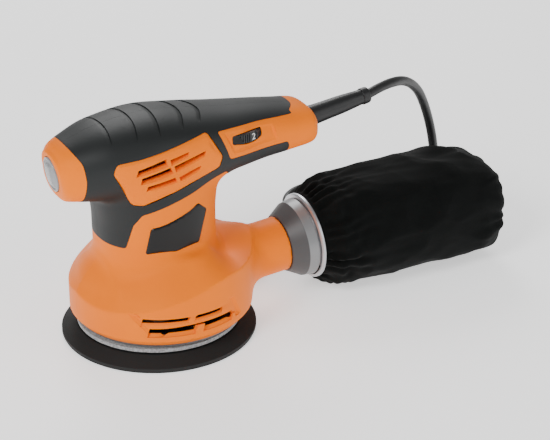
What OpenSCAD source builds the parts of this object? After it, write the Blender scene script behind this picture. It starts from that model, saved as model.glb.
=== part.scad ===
// Random orbit palm sander with a switch in its nose, a speed dial and a dust bag.
// Millimetres. Nose towards -X, dust bag towards +X, +Z up.
// The origin is the centre of the sanding face, which is also the resting plane.

/* [Pad] */
// Diameter of the sanding pad
pad_d = 125; // [110:1:150]
// Height of the pad from its hook face to the top of its carrier plate
pad_h = 9; // [8:0.5:12]
// Circle that the eight dust holes lie on
dust_pcd = 65; // [60:1:70]
// Diameter of each dust hole
dust_hole_d = 10; // [8:0.5:11]
// Distance from the motor axis to the pad axis
orbit_r = 1.25; // [1:0.05:1.5]

/* [Skirt] */
// Diameter of the skirt over the pad
skirt_d = 117; // [114:1:128]
// Rearward shift of the skirt from the pad axis
skirt_shift = 2; // [0:0.5:4]
// Height of the skirt's lower edge above the sanding face
skirt_z = 13; // [13:0.5:14]
// Height of the crease where the skirt turns in to its dome
crease_z = 46; // [44:1:50]

/* [Neck and head] */
// Length of the motor neck along X
neck_l = 77; // [74:1:90]
// Width of the motor neck along Y
neck_w = 69; // [68:1:80]
// Width of the head at its widest
head_w = 68; // [66:1:78]
// Height of the top of the head above the sanding face
head_top = 152; // [148:1:165]
// Distance from the motor axis forward to the nose
nose_reach = 68; // [66:1:74]
// Distance from the motor axis back to the end of the handle
tail_reach = 108; // [104:1:128]
// Width of the handle near its end
tail_w = 44; // [40:1:50]
// Wall thickness of the housing shells
wall = 3; // [2.5:0.1:3.5]
// Thickness of the soft grip layer
grip_t = 1.4; // [1:0.1:1.6]

/* [Spigot and dust bag] */
// Outer diameter of the dust spigot's fairing
fairing_d = 36; // [34:0.5:40]
// Outer diameter of the tube that the bag collar slides on
spigot_d = 32; // [30:0.5:33]
// Upward pitch of the spigot in degrees
spigot_pitch = 4; // [0:0.5:6]
// Length of the tube that stands out of the fairing
spigot_out = 20; // [16:0.5:24]
// Length of the dust bag
bag_l = 138; // [110:1:160]
// Diameter of the dust bag
bag_d = 73; // [60:1:76]
// Thickness of the bag cloth
bag_wall = 1.2; // [1:0.1:2]

/* [Motor] */
// Diameter of the shaft in the motor
shaft_d = 10; // [8:0.5:10]
// Outside diameter of the field core
field_d = 58; // [50:1:60]
// Bore of the field core
field_bore = 35; // [32:0.5:36]
// Length of the lamination stacks
stack_l = 30; // [26:1:32]
// Gap between the armature and the field core
air_gap = 0.6; // [0.4:0.1:1]
// Radial running clearance of shafts in their bearings
run_gap = 0.03; // [0.02:0.01:0.08]

/* [Controls] */
// Diameter of the speed dial
dial_d = 30; // [26:1:32]
// Thickness of the speed dial
dial_t = 8; // [7:0.5:9]
// Full tilt of the switch rocker in degrees
rocker_tilt = 16; // [10:1:18]

/* [Cord] */
// Diameter of the mains cord
cord_d = 6.4; // [6:0.1:7]
// Length of the strain relief
sleeve_l = 46; // [40:1:55]

/* [Hidden] */

eps = 0.01;
soft_gap = 0.3;
slice_t = 0.5;
motor_x = -orbit_r;

// Pad stack
hook_t = 1;
plate_t = 3;
plate_r = pad_d * 0.4;
pad_edge_h = 3;
pad_step_r = pad_d / 2 - 9.5;
pad_well_r = 9;
pad_bore_r = 3.1;

// Skirt
skirt_r = skirt_d / 2;
rim_in = 5.5;
rim_h = 3.6;
dome_h = 18;
SKIRT_SLOTS = [[-38, -8, 18.5], [-4, 16, 18.5], [-34, -4, 11.5], [1, 24, 11.5]];

// Head sections: [x, height of centre, half width, half height]
head_half = head_w / 2;
tail_half = tail_w / 2;
head_rise = head_top - 152;
STATIONS = [
    [-nose_reach, 123 + head_rise, head_half * 0.46, 14.5],
    [-nose_reach + 3, 123.5 + head_rise, head_half * 0.56, 17],
    [-nose_reach + 12, 124.5 + head_rise, head_half * 0.7, 19.5],
    [-nose_reach + 32, 126 + head_rise, head_half * 0.9, 23.5],
    [-8, 126 + head_rise, head_half, 26],
    [20, 125.5 + head_rise, head_half * 0.96, 23],
    [46, 124.5 + head_rise, (head_half + tail_half) * 0.53, 19.5],
    [tail_reach - 38, 124 + head_rise, tail_half * 1.14, 16.8],
    [tail_reach - 18, 123 + head_rise, tail_half * 1.06, 14.4],
    [tail_reach - 5, 122.5 + head_rise, tail_half * 0.97, 12.8],
    [tail_reach, 122 + head_rise, tail_half * 0.8, 10]];
head_power = 2.5;
neck_foot = crease_z + dome_h - 1;
neck_top = 118 + head_rise;
nose_line = -nose_reach + 12;
handle_end = tail_reach - 18;

// Side outlines as [x, z] points
PANEL = [[-40, 128], [-37, 134], [-22, 134.5], [2, 137.5], [24, 140], [32, 124], [29, 118],
    [0, 110], [-22, 103.5], [-28, 104.5]];
BADGE = [[-18, 87.2], [14.6, 97.6], [21.4, 90.8], [17.2, 70.3], [-2.3, 67.9], [-21.7, 70.8]];
badge_t = 0.6;

// Spigot, collar and bag, measured along the pitched spigot axis
spigot_root = [40, 0, 33.8];
fairing_l = 48;
socket_l = 14;
tube_wall = 3;
collar_gap = 0.05;
collar_l = 16.9;
ring_l = 2.8;
collar_start = fairing_l + soft_gap;
mouth = collar_start + collar_l + ring_l;
mouth_r = fairing_d / 2 + 10.5;
bag_half = bag_d / 2;
bag_start_x = spigot_root[0] + mouth * cos(spigot_pitch);
bag_end_x = bag_start_x + bag_l;
bag_low = 1.8;

// Motor heights
core_z = 70;
core_end = core_z + stack_l;
coil_l = 7;
comm_z = 108;
comm_h = 14;
comm_r = 11;
fan_z = 54;
fan_r = 24;
shaft_foot = 24.5;
journal_r = 4;
top_bearing_z = 127;
top_bearing_r = 11;
top_bearing_h = 7;
sleeve_wall = 2;
low_bearing_z = 43.5;
low_bearing_r = 15;
low_bearing_h = 9;
plate_z = 44;
plate_rim_r = 43;
field_r = field_d / 2;
fit = 0.1;

// Eccentric drive
pad_bearing_z = pad_h + 5.2;
pad_bearing_r = 14;
pad_bearing_h = 8;
pad_stub_r = 6;
hub_r = 9;
weight_r = 34;
dust_fan_r = 40;
dust_fan_z = 34;

// Brushes
brush_w = 6;
brush_h = 8;
brush_l = 12;
spring_l = 4;
holder_wall = 1.5;

// Controls
nose_z = 122.8 + head_rise;
nose_lean = -8;
boot_r = 11.5;
boot_sink = 1.5;
boot_t = 0.8;
boot_fit = 0.1;
pivot_depth = 7;
pivot_r = 1;
rocker_l = 10;
rocker_w = 8;
dial_x = 52.5;
dial_y = -tail_half * 0.61;
dial_z = 131.6 + head_rise;
dial_pin_r = 3;

// Fasteners: [x, z] on the parting plane
boss_r = 5;
screw_r = 2;
screw_l = 16;
screw_head_r = 3.6;
screw_head_h = 2.6;
head_y = 6;
BOSSES = [[-42, 112 + head_rise], [30, 133 + head_rise], [tail_reach - 33, 131 + head_rise], [-32.7, 60.9],
    [30.5, 60.2], [-50, 38]];

// Ribs across the shells: [height, radius of the seat, length]
RIBS = [[plate_z + 3 + fit, plate_rim_r - 6, 140], [core_z + 3, field_r + fit, 140],
    [core_end - 6, field_r + fit, 140], [top_bearing_z + 1, top_bearing_r + sleeve_wall + fit, 36]];

// Mains cord
sleeve_z = 122.5 + head_rise;
sleeve_pitch = 8;
sleeve_r = 6.5;
sleeve_tip_r = 4.7;
cord_r = cord_d / 2;
cord_sides = 10;
sleeve_tip = [tail_reach + sleeve_l * cos(sleeve_pitch), 0, sleeve_z + sleeve_l * sin(sleeve_pitch)];
CORD_DROP = [[166, 4, 130], [178, 9, 129], [190, 16, 125], [201, 23, 118], [211, 30, 108],
    [219, 36, 96], [226, 41, 82], [231, 44, 68], [235, 47, 54], [238, 49, 40], [242, 50, 27],
    [247, 50, 16], [254, 51, 9], [262, 54, 6], [269, 60, 5], [274, 68, 4.5], [276, 77, 4.4],
    [274, 86, 4.4], [269, 94, 4.4], [262, 99, 4.4], [253, 101.8, 4.4], [242, 101.8, 4.4],
    [231.5, 101.8, 4.4]];
CORD_TAIL = [[135.2, 64.4, 10.2], [133, 60.5, 9.9], [130, 57.2, 9.6], [126, 54.3, 9.2], [121, 52, 8.8],
    [118, 51, 8.5], [116, 51, 8.5]];
hank_x = 190;
hank_y = 76.2;
hank_l = 110;
hank_w = 57.6;
hank_h = 19.2;
tie_w = 14;
tie_t = 1;
plug_x = 68;
plug_y = 51;
plug_z = 8.5;
plug_l = 48;
plug_w = 35;
plug_h = 17;
pin_r = 2.4;
pin_l = 19;
pin_pitch = 19;

// A closed outline between an ellipse and a rectangle
function round_box(a, b, power, steps) = [for (i = [0:steps - 1])
    let (t = 360 * i / steps, c = cos(t), s = sin(t))
    [a * sign(c) * pow(abs(c), 2 / power), b * sign(s) * pow(abs(s), 2 / power)]];

// One thin slice drawn across the X axis
module cross_slice(x, z, half_w, half_h, power) {
    translate([x, 0, z])
        rotate([90, 0, 90])
            linear_extrude(eps)
                polygon(round_box(half_w, half_h, power, 36));
}

// One outline of the long form, as points across the X axis
function ring_across(x, z, half_w, half_h, power, steps) =
    [for (q = round_box(half_w, half_h, power, steps)) [x, q[0], z + q[1]]];

// A closed solid through outlines that all have the same number of points
module loft(rings) {
    n = len(rings[0]);
    last = len(rings) - 1;
    walls = [for (i = [0:last - 1], k = [0:n - 1], half = [0:1])
        let (a = i * n + k, b = i * n + (k + 1) % n)
        half == 0 ? [a, a + n, b + n] : [a, b + n, b]];
    polyhedron(points = [for (r = rings) each r], convexity = 6,
        faces = concat(walls, [[for (k = [0:n - 1]) k]], [[for (k = [n - 1:-1:0]) last * n + k]]));
}

// The long form of the nose, the palm grip and the handle
module head_form(inset) {
    mid = (tail_reach - nose_reach) / 2;
    squeeze = 1 - 2 * inset / (nose_reach + tail_reach);
    loft([for (s = STATIONS)
        ring_across(mid + (s[0] - mid) * squeeze, s[1], s[2] - inset, s[3] - inset, head_power, 36)]);
}

module neck_slice(z, grow_x, grow_y, inset) {
    translate([motor_x, 0, z])
        linear_extrude(slice_t)
            polygon(round_box(neck_l / 2 + grow_x - inset, neck_w / 2 + grow_y - inset, 2.2, 48));
}

module neck_form(inset) {
    hull() {
        neck_slice(neck_foot - (inset > 0 ? 12 : 0), 3, 1, inset);
        neck_slice(neck_foot + 7, 0, 0, inset);
    }
    hull() {
        neck_slice(neck_foot + 7, 0, 0, inset);
        neck_slice(neck_top - 18, 0, 0, inset);
    }
    hull() {
        neck_slice(neck_top - 18, 0, 0, inset);
        neck_slice(neck_top, 4, -1.5, inset);
    }
}

// Skirt and dome in one turned shape
module skirt_form(inset) {
    r = skirt_r - inset;
    low = skirt_z + (inset > 0 ? -1 : 0);
    top = crease_z + dome_h - 2 - inset;
    translate([skirt_shift, 0, 0])
        rotate_extrude($fn = 72)
            polygon([[0, low], [r - rim_in, low], [r - rim_in, skirt_z], [r, skirt_z + rim_h],
                [r, crease_z - 8], [r - 3, crease_z + 2 - inset], [r - 8, crease_z + 7 - inset],
                [r - 14.5, crease_z + 11.5 - inset], [r - 20, top], [0, top]]);
}

module along_spigot(out = 0) {
    translate(spigot_root)
        rotate([0, 90 - spigot_pitch, 0])
            translate([0, 0, out])
                children();
}

// Fairing that leads from the skirt to the spigot
module fairing_form(inset) {
    r = fairing_d / 2 - inset;
    along_spigot()
        cylinder(r = r, h = fairing_l, $fn = 48);
    hull() {
        along_spigot()
            cylinder(r = r, h = fairing_l * 0.6, $fn = 32);
        translate([20, 0, skirt_z + 6 + inset])
            cylinder(r = skirt_r - 22 - inset, h = crease_z - skirt_z + 2 - 2 * inset, $fn = 32);
    }
}

module body_form(inset) {
    head_form(inset);
    neck_form(inset);
    skirt_form(inset);
    fairing_form(inset);
}

// Everything on one side of the parting plane
module side_space(side) {
    reach = 400;
    translate([-reach / 2, side > 0 ? 0 : -reach, -eps])
        cube([reach, reach, reach]);
}

// Runs a side outline right through the body
module through_sides() {
    rotate([90, 0, 0])
        linear_extrude(200, center = true)
            children();
}

// Where the soft grip lies, seen from the side
module grip_outline() {
    difference() {
        polygon([[nose_line - 3, 200], [nose_line - 3, 142 + head_rise], [nose_line, 132 + head_rise],
            [nose_line, 112 + head_rise], [nose_line - 4, 90], [nose_line - 4, 73], [-31, 73],
            [-27, 90], [-22, 96.5], [36, 112], [handle_end - 12, 116], [handle_end - 12, 121],
            [67, 124], [38, 121], [32, 139 + head_rise], [62, 137 + head_rise],
            [handle_end - 4, 135 + head_rise], [handle_end, 200]]);
        polygon(PANEL);
    }
}

// The shell of the head and neck between two depths
module head_shell(outer, inner) {
    difference() {
        union() {
            head_form(outer);
            neck_form(outer);
        }
        head_form(inner);
        neck_form(inner);
    }
}

module grip_half(side) {
    color("darkslategray")
        intersection() {
            head_shell(0, grip_t);
            through_sides()
                grip_outline();
            side_space(side);
        }
}

// Cooling slots in the side panel
module side_slots() {
    for (col = [0:1], row = [0:2])
        translate([-15 + col * 23 + row * 2, 0, 128 + head_rise - row * 6 + col * 5])
            rotate([0, -12, 0])
                cube([17 - row * 2, 200, 2.4], center = true);
}

// Slots in the skirt that let air into the dust chamber
module skirt_slots() {
    for (side = [-1, 1], span = SKIRT_SLOTS)
        mirror([0, side > 0 ? 0 : 1, 0])
            translate([skirt_shift, 0, skirt_z + span[2]])
                rotate([0, 0, 90 - span[1]])
                    rotate_extrude(angle = span[1] - span[0], $fn = 72)
                        translate([skirt_r - 12, 0])
                            square([20, 3]);
}

module nose_axis() {
    translate([-nose_reach, 0, nose_z])
        rotate([0, -90 + nose_lean, 0])
            children();
}

module dial_place() {
    translate([dial_x, dial_y, dial_z])
        children();
}

module sleeve_axis() {
    translate([tail_reach, 0, sleeve_z])
        rotate([0, 90 - sleeve_pitch, 0])
            children();
}

module screw_axes() {
    for (p = BOSSES)
        translate([p[0], 0, p[1]])
            rotate([-90, 0, 0])
                children();
}

// Screw bosses and the ribs that locate the motor, kept inside the outer wall
module inner_frame() {
    rib_t = 2.5;
    intersection() {
        body_form(wall / 2);
        union() {
            screw_axes()
                cylinder(r = boss_r, h = 200, center = true, $fn = 32);
            for (rib = RIBS)
                around_motor(rib[0])
                    difference() {
                        translate([-rib[2] / 2, -60, 0])
                            cube([rib[2], 120, rib_t]);
                        translate([0, 0, -1])
                            cylinder(r = rib[1], h = rib_t + 2, $fn = 64);
                    }
        }
    }
}

module housing_half(side) {
    color("orangered") {
        intersection() {
            difference() {
                union() {
                    difference() {
                        body_form(0);
                        body_form(wall);
                    }
                    inner_frame();
                }
                intersection() {
                    head_shell(-1, grip_t);
                    through_sides()
                        grip_outline();
                }
                side_slots();
                skirt_slots();
                nose_axis()
                    translate([0, 0, -wall - 6])
                        cylinder(r = boot_r - 1.5, h = 30, $fn = 48);
                nose_axis()
                    translate([0, 0, -boot_sink])
                        cylinder(r = boot_r, h = 30, $fn = 48);
                dial_place()
                    cylinder(r = dial_d / 2 + 1, h = dial_t + 2, center = true, $fn = 64);
                sleeve_axis()
                    translate([0, 0, -15])
                        cylinder(r = sleeve_r, h = 30, $fn = 32);
                along_spigot(fairing_l - socket_l)
                    cylinder(r = spigot_d / 2, h = socket_l + 30, $fn = 64);
                screw_axes() {
                    translate([0, 0, head_y])
                        cylinder(r = screw_head_r + 0.4, h = 100, $fn = 24);
                    translate([0, 0, head_y - screw_l - 1])
                        cylinder(r = screw_r + fit, h = screw_l + 2, $fn = 24);
                }
            }
            side_space(side);
        }
    }
}

module housing_left() {
    housing_half(-1);
}

module housing_right() {
    housing_half(1);
}

module grip_left() {
    grip_half(-1);
}

module grip_right() {
    grip_half(1);
}

module badge_half(side) {
    color("black")
        intersection() {
            difference() {
                neck_form(-badge_t);
                neck_form(0);
            }
            through_sides()
                polygon(BADGE);
            side_space(side);
        }
}

module badge_left() {
    badge_half(-1);
}

module badge_right() {
    badge_half(1);
}

// ---- Switch in the nose ----

// Flexible dust boot: a rim clamped in the nose and a shallow dome over the rocker
module switch_boot() {
    color("silver")
        nose_axis()
            rotate_extrude($fn = 64)
                polygon([[boot_r - 1.5 + boot_fit, -boot_sink], [boot_r - boot_fit, -boot_sink],
                    [boot_r - boot_fit, 0],
                    [boot_r - 1.5, 0.6], [boot_r - 4, 1.6], [0, 2.2], [0, 2.2 - boot_t],
                    [boot_r - 4.3, 1.6 - boot_t], [boot_r - 1.9, -0.4]]);
}

module switch_rocker() {
    color("dimgray")
        nose_axis()
            translate([0, 0, -pivot_depth])
                rotate([0, -rocker_tilt / 2, 0]) {
                    rotate([90, 0, 0])
                        cylinder(r = pivot_r, h = rocker_w + 5, center = true, $fn = 24);
                    translate([-rocker_l / 2, -rocker_w / 2, 0])
                        cube([rocker_l, rocker_w, pivot_depth - 2]);
                    rotate([90, 0, 0])
                        cylinder(r = 2, h = rocker_w, center = true, $fn = 24);
                }
}

module switch_body() {
    ear_t = 2.5;
    body_back = 12;
    color("black")
        nose_axis()
            difference() {
                union() {
                    translate([-8, -rocker_w / 2 - ear_t - soft_gap, -pivot_depth - 4 - body_back])
                        cube([16, rocker_w + 2 * (ear_t + soft_gap), body_back]);
                    for (side = [-1, 1])
                        translate([-3, side * (rocker_w / 2 + soft_gap + ear_t / 2) - ear_t / 2,
                            -pivot_depth - 4 - eps])
                            cube([6, ear_t, 6 + eps]);
                }
                translate([0, 0, -pivot_depth])
                    rotate([90, 0, 0])
                        cylinder(r = pivot_r + run_gap, h = 40, center = true, $fn = 24);
            }
}

// ---- Speed control in the handle ----

module speed_dial() {
    ribs = 40;
    color("black")
        dial_place()
            difference() {
                cylinder(r = dial_d / 2, h = dial_t, center = true, $fn = 80);
                cylinder(r = dial_pin_r + run_gap, h = dial_t + 2, center = true, $fn = 32);
                for (i = [0:ribs - 1])
                    if (i % 10 > 2)
                        rotate([0, 0, i * 360 / ribs])
                            translate([dial_d / 2, 0, 0])
                                cube([1.2, 1, dial_t + 2], center = true);
            }
}

module speed_module() {
    board = [38, 26, 1.6];
    drop = dial_t / 2 + 1;
    color("darkgreen") {
        translate([dial_x - 20, -board[1] / 2, dial_z - drop - board[2]])
            cube(board);
        dial_place()
            translate([0, 0, -drop])
                cylinder(r = dial_pin_r, h = dial_t + 2, $fn = 32);
        dial_place()
            translate([0, 0, -drop])
                cylinder(r = dial_pin_r + 3, h = 0.7, $fn = 32);
    }
}

// ---- Motor ----

module around_motor(z) {
    translate([motor_x, 0, z])
        children();
}

module tube(outer, inner, h, sides = 64) {
    difference() {
        cylinder(r = outer, h = h, $fn = sides);
        translate([0, 0, -1])
            cylinder(r = inner, h = h + 2, $fn = sides);
    }
}

module field_core() {
    color("gray")
        around_motor(core_z)
            tube(field_r, field_bore / 2, stack_l, 96);
}

// Two saddles of wire that show at each end of the core
module field_coils() {
    out = field_r - 4;
    inner = field_bore / 2 + 1;
    color("peru")
        for (z = [core_z - coil_l, core_end], turn = [0, 180])
            around_motor(z)
                rotate([0, 0, turn + 25])
                    rotate_extrude(angle = 130, $fn = 72)
                        translate([inner, 0])
                            square([out - inner, coil_l]);
}

module armature_shaft() {
    step_z = top_bearing_z - 1;
    color("silver") {
        around_motor(shaft_foot)
            cylinder(d = shaft_d, h = step_z - shaft_foot, $fn = 48);
        around_motor(step_z)
            cylinder(r = journal_r, h = top_bearing_h + 2, $fn = 48);
    }
}

module armature_core() {
    r = field_bore / 2 - air_gap;
    slots = 12;
    color("dimgray")
        around_motor(core_z)
            difference() {
                tube(r, shaft_d / 2, stack_l, 72);
                for (i = [0:slots - 1])
                    rotate([0, 0, i * 360 / slots])
                        translate([r, 0, stack_l / 2])
                            cube([3, 1.6, stack_l + 2], center = true);
            }
}

module armature_coils() {
    color("sienna")
        for (z = [core_z - coil_l, core_end])
            around_motor(z)
                tube(field_bore / 2 - air_gap - 2, shaft_d / 2, coil_l);
}

module commutator() {
    bars = 24;
    color("chocolate")
        around_motor(comm_z)
            difference() {
                tube(comm_r, shaft_d / 2, comm_h, 72);
                for (i = [0:bars - 1])
                    rotate([0, 0, i * 360 / bars])
                        translate([comm_r, 0, comm_h / 2 + 1])
                            cube([1.4, 0.5, comm_h], center = true);
            }
}

module cooling_fan() {
    blades = 12;
    base_t = 1.6;
    blade_h = 6;
    color("lightgray")
        around_motor(fan_z) {
            tube(fan_r, shaft_d / 2, base_t);
            tube(shaft_d / 2 + 3, shaft_d / 2, blade_h);
            for (i = [0:blades - 1])
                rotate([0, 0, i * 360 / blades])
                    translate([shaft_d / 2 + 5, -0.6, base_t - eps])
                        rotate([0, 0, 14])
                            cube([fan_r - shaft_d / 2 - 6.5, 1.2, blade_h - base_t]);
        }
}

module upper_bearing() {
    color("lightsteelblue")
        around_motor(top_bearing_z)
            tube(top_bearing_r, journal_r + run_gap, top_bearing_h);
}

// Rubber cup that carries the upper bearing in the shells
module bearing_sleeve() {
    color("black")
        around_motor(top_bearing_z - 0.5)
            tube(top_bearing_r + sleeve_wall, top_bearing_r, top_bearing_h + 1);
}

module lower_bearing() {
    color("lightsteelblue")
        around_motor(low_bearing_z)
            tube(low_bearing_r, shaft_d / 2 + run_gap, low_bearing_h);
}

// Cast plate between the motor and the dust chamber
module bearing_plate() {
    spokes = 6;
    color("silver")
        around_motor(0)
            difference() {
                union() {
                    translate([0, 0, plate_z])
                        tube(plate_rim_r, low_bearing_r, 3, 96);
                    translate([0, 0, low_bearing_z - 1.5])
                        tube(low_bearing_r + 3, low_bearing_r - 3, low_bearing_h + 1.5);
                }
                translate([0, 0, low_bearing_z])
                    cylinder(r = low_bearing_r, h = low_bearing_h + 2, $fn = 64);
                for (i = [0:spokes - 1])
                    rotate([0, 0, (i + 0.5) * 360 / spokes])
                        translate([plate_rim_r - 8, 0, plate_z - 1])
                            cylinder(r = 4, h = 6, $fn = 24);
            }
}

// ---- Eccentric drive and dust fan ----

// Cup with its bore on the pad axis, a boss on the motor axis and a counterweight
module eccentric_hub() {
    cup_z = pad_bearing_z - 0.4;
    cup_top = pad_bearing_z + pad_bearing_h;
    cup_h = cup_top + 5.6 - cup_z;
    boss_top = dust_fan_z + 6;
    color("darkgray")
        difference() {
            union() {
                translate([0, 0, cup_z])
                    cylinder(r = pad_bearing_r + 3.5, h = cup_h, $fn = 72);
                around_motor(cup_z + cup_h - eps)
                    cylinder(r = hub_r, h = boss_top - cup_z - cup_h, $fn = 48);
                intersection() {
                    around_motor(cup_z + 2)
                        cylinder(r = weight_r, h = 8, $fn = 72);
                    translate([-60, -30, cup_z])
                        cube([52, 60, 12]);
                }
            }
            translate([0, 0, cup_z - 1])
                cylinder(r = pad_bearing_r, h = cup_top - cup_z + 1, $fn = 72);
            translate([0, 0, cup_top - 1])
                cylinder(r = pad_stub_r + 2, h = 3, $fn = 48);
            around_motor(shaft_foot)
                cylinder(d = shaft_d, h = 40, $fn = 48);
        }
}

module dust_fan() {
    blades = 8;
    blade_h = 8;
    color("gainsboro")
        around_motor(dust_fan_z) {
            tube(dust_fan_r, hub_r, 1.8, 80);
            for (i = [0:blades - 1])
                rotate([0, 0, i * 360 / blades])
                    translate([pad_bearing_r + 7, -0.8, -blade_h])
                        cube([dust_fan_r - pad_bearing_r - 8, 1.6, blade_h + eps]);
        }
}

module pad_bearing() {
    color("lightsteelblue")
        translate([0, 0, pad_bearing_z])
            tube(pad_bearing_r, pad_stub_r, pad_bearing_h);
}

// ---- Pad, which orbits and turns freely ----

module pad_spindle() {
    flange_h = pad_bearing_z - pad_h - 0.4;
    color("silver")
        difference() {
            union() {
                translate([0, 0, pad_h])
                    cylinder(r = pad_stub_r + 3, h = flange_h, $fn = 48);
                translate([0, 0, pad_h])
                    cylinder(r = pad_stub_r - run_gap, h = pad_bearing_z + pad_bearing_h - pad_h + 0.8,
                        $fn = 48);
            }
            translate([0, 0, pad_h - 1])
                cylinder(r = pad_bore_r - 0.1, h = 11, $fn = 32);
        }
}

module dust_holes(z, h) {
    holes = 8;
    for (i = [0:holes - 1])
        rotate([0, 0, (i + 0.5) * 360 / holes])
            translate([dust_pcd / 2, 0, z])
                cylinder(d = dust_hole_d, h = h, $fn = 32);
}

module pad_plate() {
    color("dimgray")
        difference() {
            translate([0, 0, pad_h - plate_t])
                cylinder(r = plate_r, h = plate_t, $fn = 96);
            translate([0, 0, pad_h - plate_t - 1])
                cylinder(r = pad_bore_r, h = plate_t + 2, $fn = 32);
            dust_holes(pad_h - plate_t - 1, plate_t + 2);
        }
}

module pad_foam() {
    color("black")
        difference() {
            rotate_extrude($fn = 120)
                polygon([[pad_well_r, hook_t], [pad_d / 2, hook_t], [pad_d / 2, pad_edge_h],
                    [pad_step_r, pad_h - 1], [plate_r, pad_h - 1], [plate_r, pad_h - plate_t],
                    [pad_well_r, pad_h - plate_t]]);
            dust_holes(0, pad_h + 1);
        }
}

module hook_layer() {
    color("gray")
        difference() {
            tube(pad_d / 2 - 0.5, pad_well_r, hook_t, 120);
            dust_holes(-1, hook_t + 2);
        }
}

module pad_washer() {
    color("silver")
        translate([0, 0, pad_h - plate_t - 1.2])
            tube(pad_well_r - 1.5, pad_bore_r, 1.2, 48);
}

module pad_screw() {
    head_h = 2.6;
    washer_z = pad_h - plate_t - 1.2;
    color("gray")
        difference() {
            union() {
                translate([0, 0, washer_z - head_h])
                    cylinder(r = 5, h = head_h, $fn = 48);
                translate([0, 0, washer_z])
                    cylinder(r = pad_bore_r - 0.1, h = 14, $fn = 32);
            }
            translate([0, 0, washer_z - head_h - 1])
                cylinder(r = 2.3, h = 2.8, $fn = 6);
        }
}

// ---- Rings between the skirt and the pad ----

// Rubber carrier held in the skirt's lower edge
module brake_ring() {
    low = pad_h + soft_gap + 2.3;
    out = skirt_r - rim_in - wall;
    color("dimgray")
        translate([skirt_shift, 0, 0])
            rotate_extrude($fn = 96)
                polygon([[out - 8, low], [out + 1, low], [out + 1, skirt_z - 0.02],
                    [out - 0.05, skirt_z - 0.02], [out - 0.05, skirt_z + 5], [out - 4, skirt_z + 5],
                    [out - 4, skirt_z], [out - 8, skirt_z]]);
}

module felt_ring() {
    color("lightgray")
        translate([0, 0, pad_h + soft_gap])
            tube(plate_r + 2.5, plate_r - 5.5, 2.3, 120);
}

// ---- Brush gear ----

module brush_sides() {
    around_motor(comm_z + comm_h / 2)
        for (turn = [0, 180])
            rotate([0, 0, turn])
                children();
}

module brush_holders() {
    reach = brush_l + spring_l;
    color("goldenrod")
        brush_sides()
            difference() {
                translate([comm_r + 2, -brush_w / 2 - holder_wall, -brush_h / 2 - holder_wall])
                    cube([reach - 0.5, brush_w + 2 * holder_wall, brush_h + 2 * holder_wall]);
                translate([comm_r + 1, -brush_w / 2 - fit, -brush_h / 2 - fit])
                    cube([reach - 1, brush_w + 2 * fit, brush_h + 2 * fit]);
            }
}

module carbon_brushes() {
    color("black")
        brush_sides()
            translate([comm_r + fit, -brush_w / 2, -brush_h / 2])
                cube([brush_l, brush_w, brush_h]);
}

module brush_springs() {
    color("silver")
        brush_sides()
            translate([comm_r + fit + brush_l, 0, 0])
                rotate([0, 90, 0])
                    tube(2.6, 1.8, spring_l - 2 * fit, 32);
}

module capacitor() {
    color("steelblue")
        translate([tail_reach - 24, -8, sleeve_z - 9])
            cube([9, 16, 5]);
}

// ---- Spigot and dust bag ----

module spigot_tube() {
    color("orangered")
        along_spigot(fairing_l - socket_l)
            tube(spigot_d / 2, spigot_d / 2 - tube_wall, socket_l + spigot_out, 64);
}

module bag_collar() {
    bore = spigot_d / 2 + collar_gap;
    front = fairing_d / 2 + 1;
    cone_l = 9.3;
    color("gray")
        along_spigot(collar_start)
            rotate_extrude($fn = 96)
                polygon([[bore, 0], [front, 0], [mouth_r - 3.7, cone_l], [mouth_r - 2.6, collar_l - 1],
                    [mouth_r - 3.4, collar_l - 0.5], [mouth_r - 3.4, collar_l], [bore + 2.4, collar_l],
                    [bore + 2.4, collar_l + 3], [bore, collar_l + 3]]);
}

module collar_ring() {
    bore = spigot_d / 2 + collar_gap + 2.4;
    color("silver")
        along_spigot(collar_start + collar_l)
            rotate_extrude($fn = 96)
                polygon([[bore, 0], [mouth_r - 1, 0], [mouth_r, 0.8], [mouth_r, ring_l - 0.6],
                    [mouth_r - 0.8, ring_l], [bore, ring_l]]);
}

// One slice of the bag at the mouth, square to the spigot axis
module mouth_slice(out, r) {
    along_spigot(out)
        cylinder(r = r, h = eps, $fn = 36);
}

module bag_form(inset) {
    front = bag_start_x + 12;
    back = bag_end_x - 10;
    rise = bag_half - 1.5;
    hull() {
        mouth_slice(mouth, mouth_r - inset);
        mouth_slice(mouth + 3, mouth_r + 1 - inset);
    }
    hull() {
        mouth_slice(mouth + 3, mouth_r + 1 - inset);
        cross_slice(front, bag_low + rise + 2, bag_half + 0.5 - inset, rise - inset, 2.2);
    }
    hull() {
        cross_slice(front, bag_low + rise + 2, bag_half + 0.5 - inset, rise - inset, 2.2);
        cross_slice(back - inset, bag_low + rise, bag_half + 1.5 - inset, rise - inset, 2.7);
    }
    hull() {
        cross_slice(back - inset, bag_low + rise, bag_half + 1.5 - inset, rise - inset, 2.7);
        cross_slice(bag_end_x - inset, bag_low + rise, bag_half - 4 - inset, rise - 5 - inset, 2.7);
    }
}

module bag_cloth() {
    color("black")
        difference() {
            bag_form(0);
            bag_form(bag_wall);
            mouth_opening();
        }
}

module mouth_opening() {
    along_spigot(mouth - 2)
        cylinder(r = mouth_r - bag_wall, h = 4, $fn = 36);
}

// Elastic hem that grips the collar's inner sleeve
module bag_hem() {
    color("dimgray")
        along_spigot(mouth + 0.1)
            tube(mouth_r - bag_wall - 0.3, spigot_d / 2 + 4, 3, 72);
}

module rod(p, q, r) {
    d = q - p;
    translate(p)
        rotate([0, acos(d[2] / norm(d)), atan2(d[1], d[0])])
            cylinder(r = r, h = norm(d), $fn = 16);
}

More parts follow.
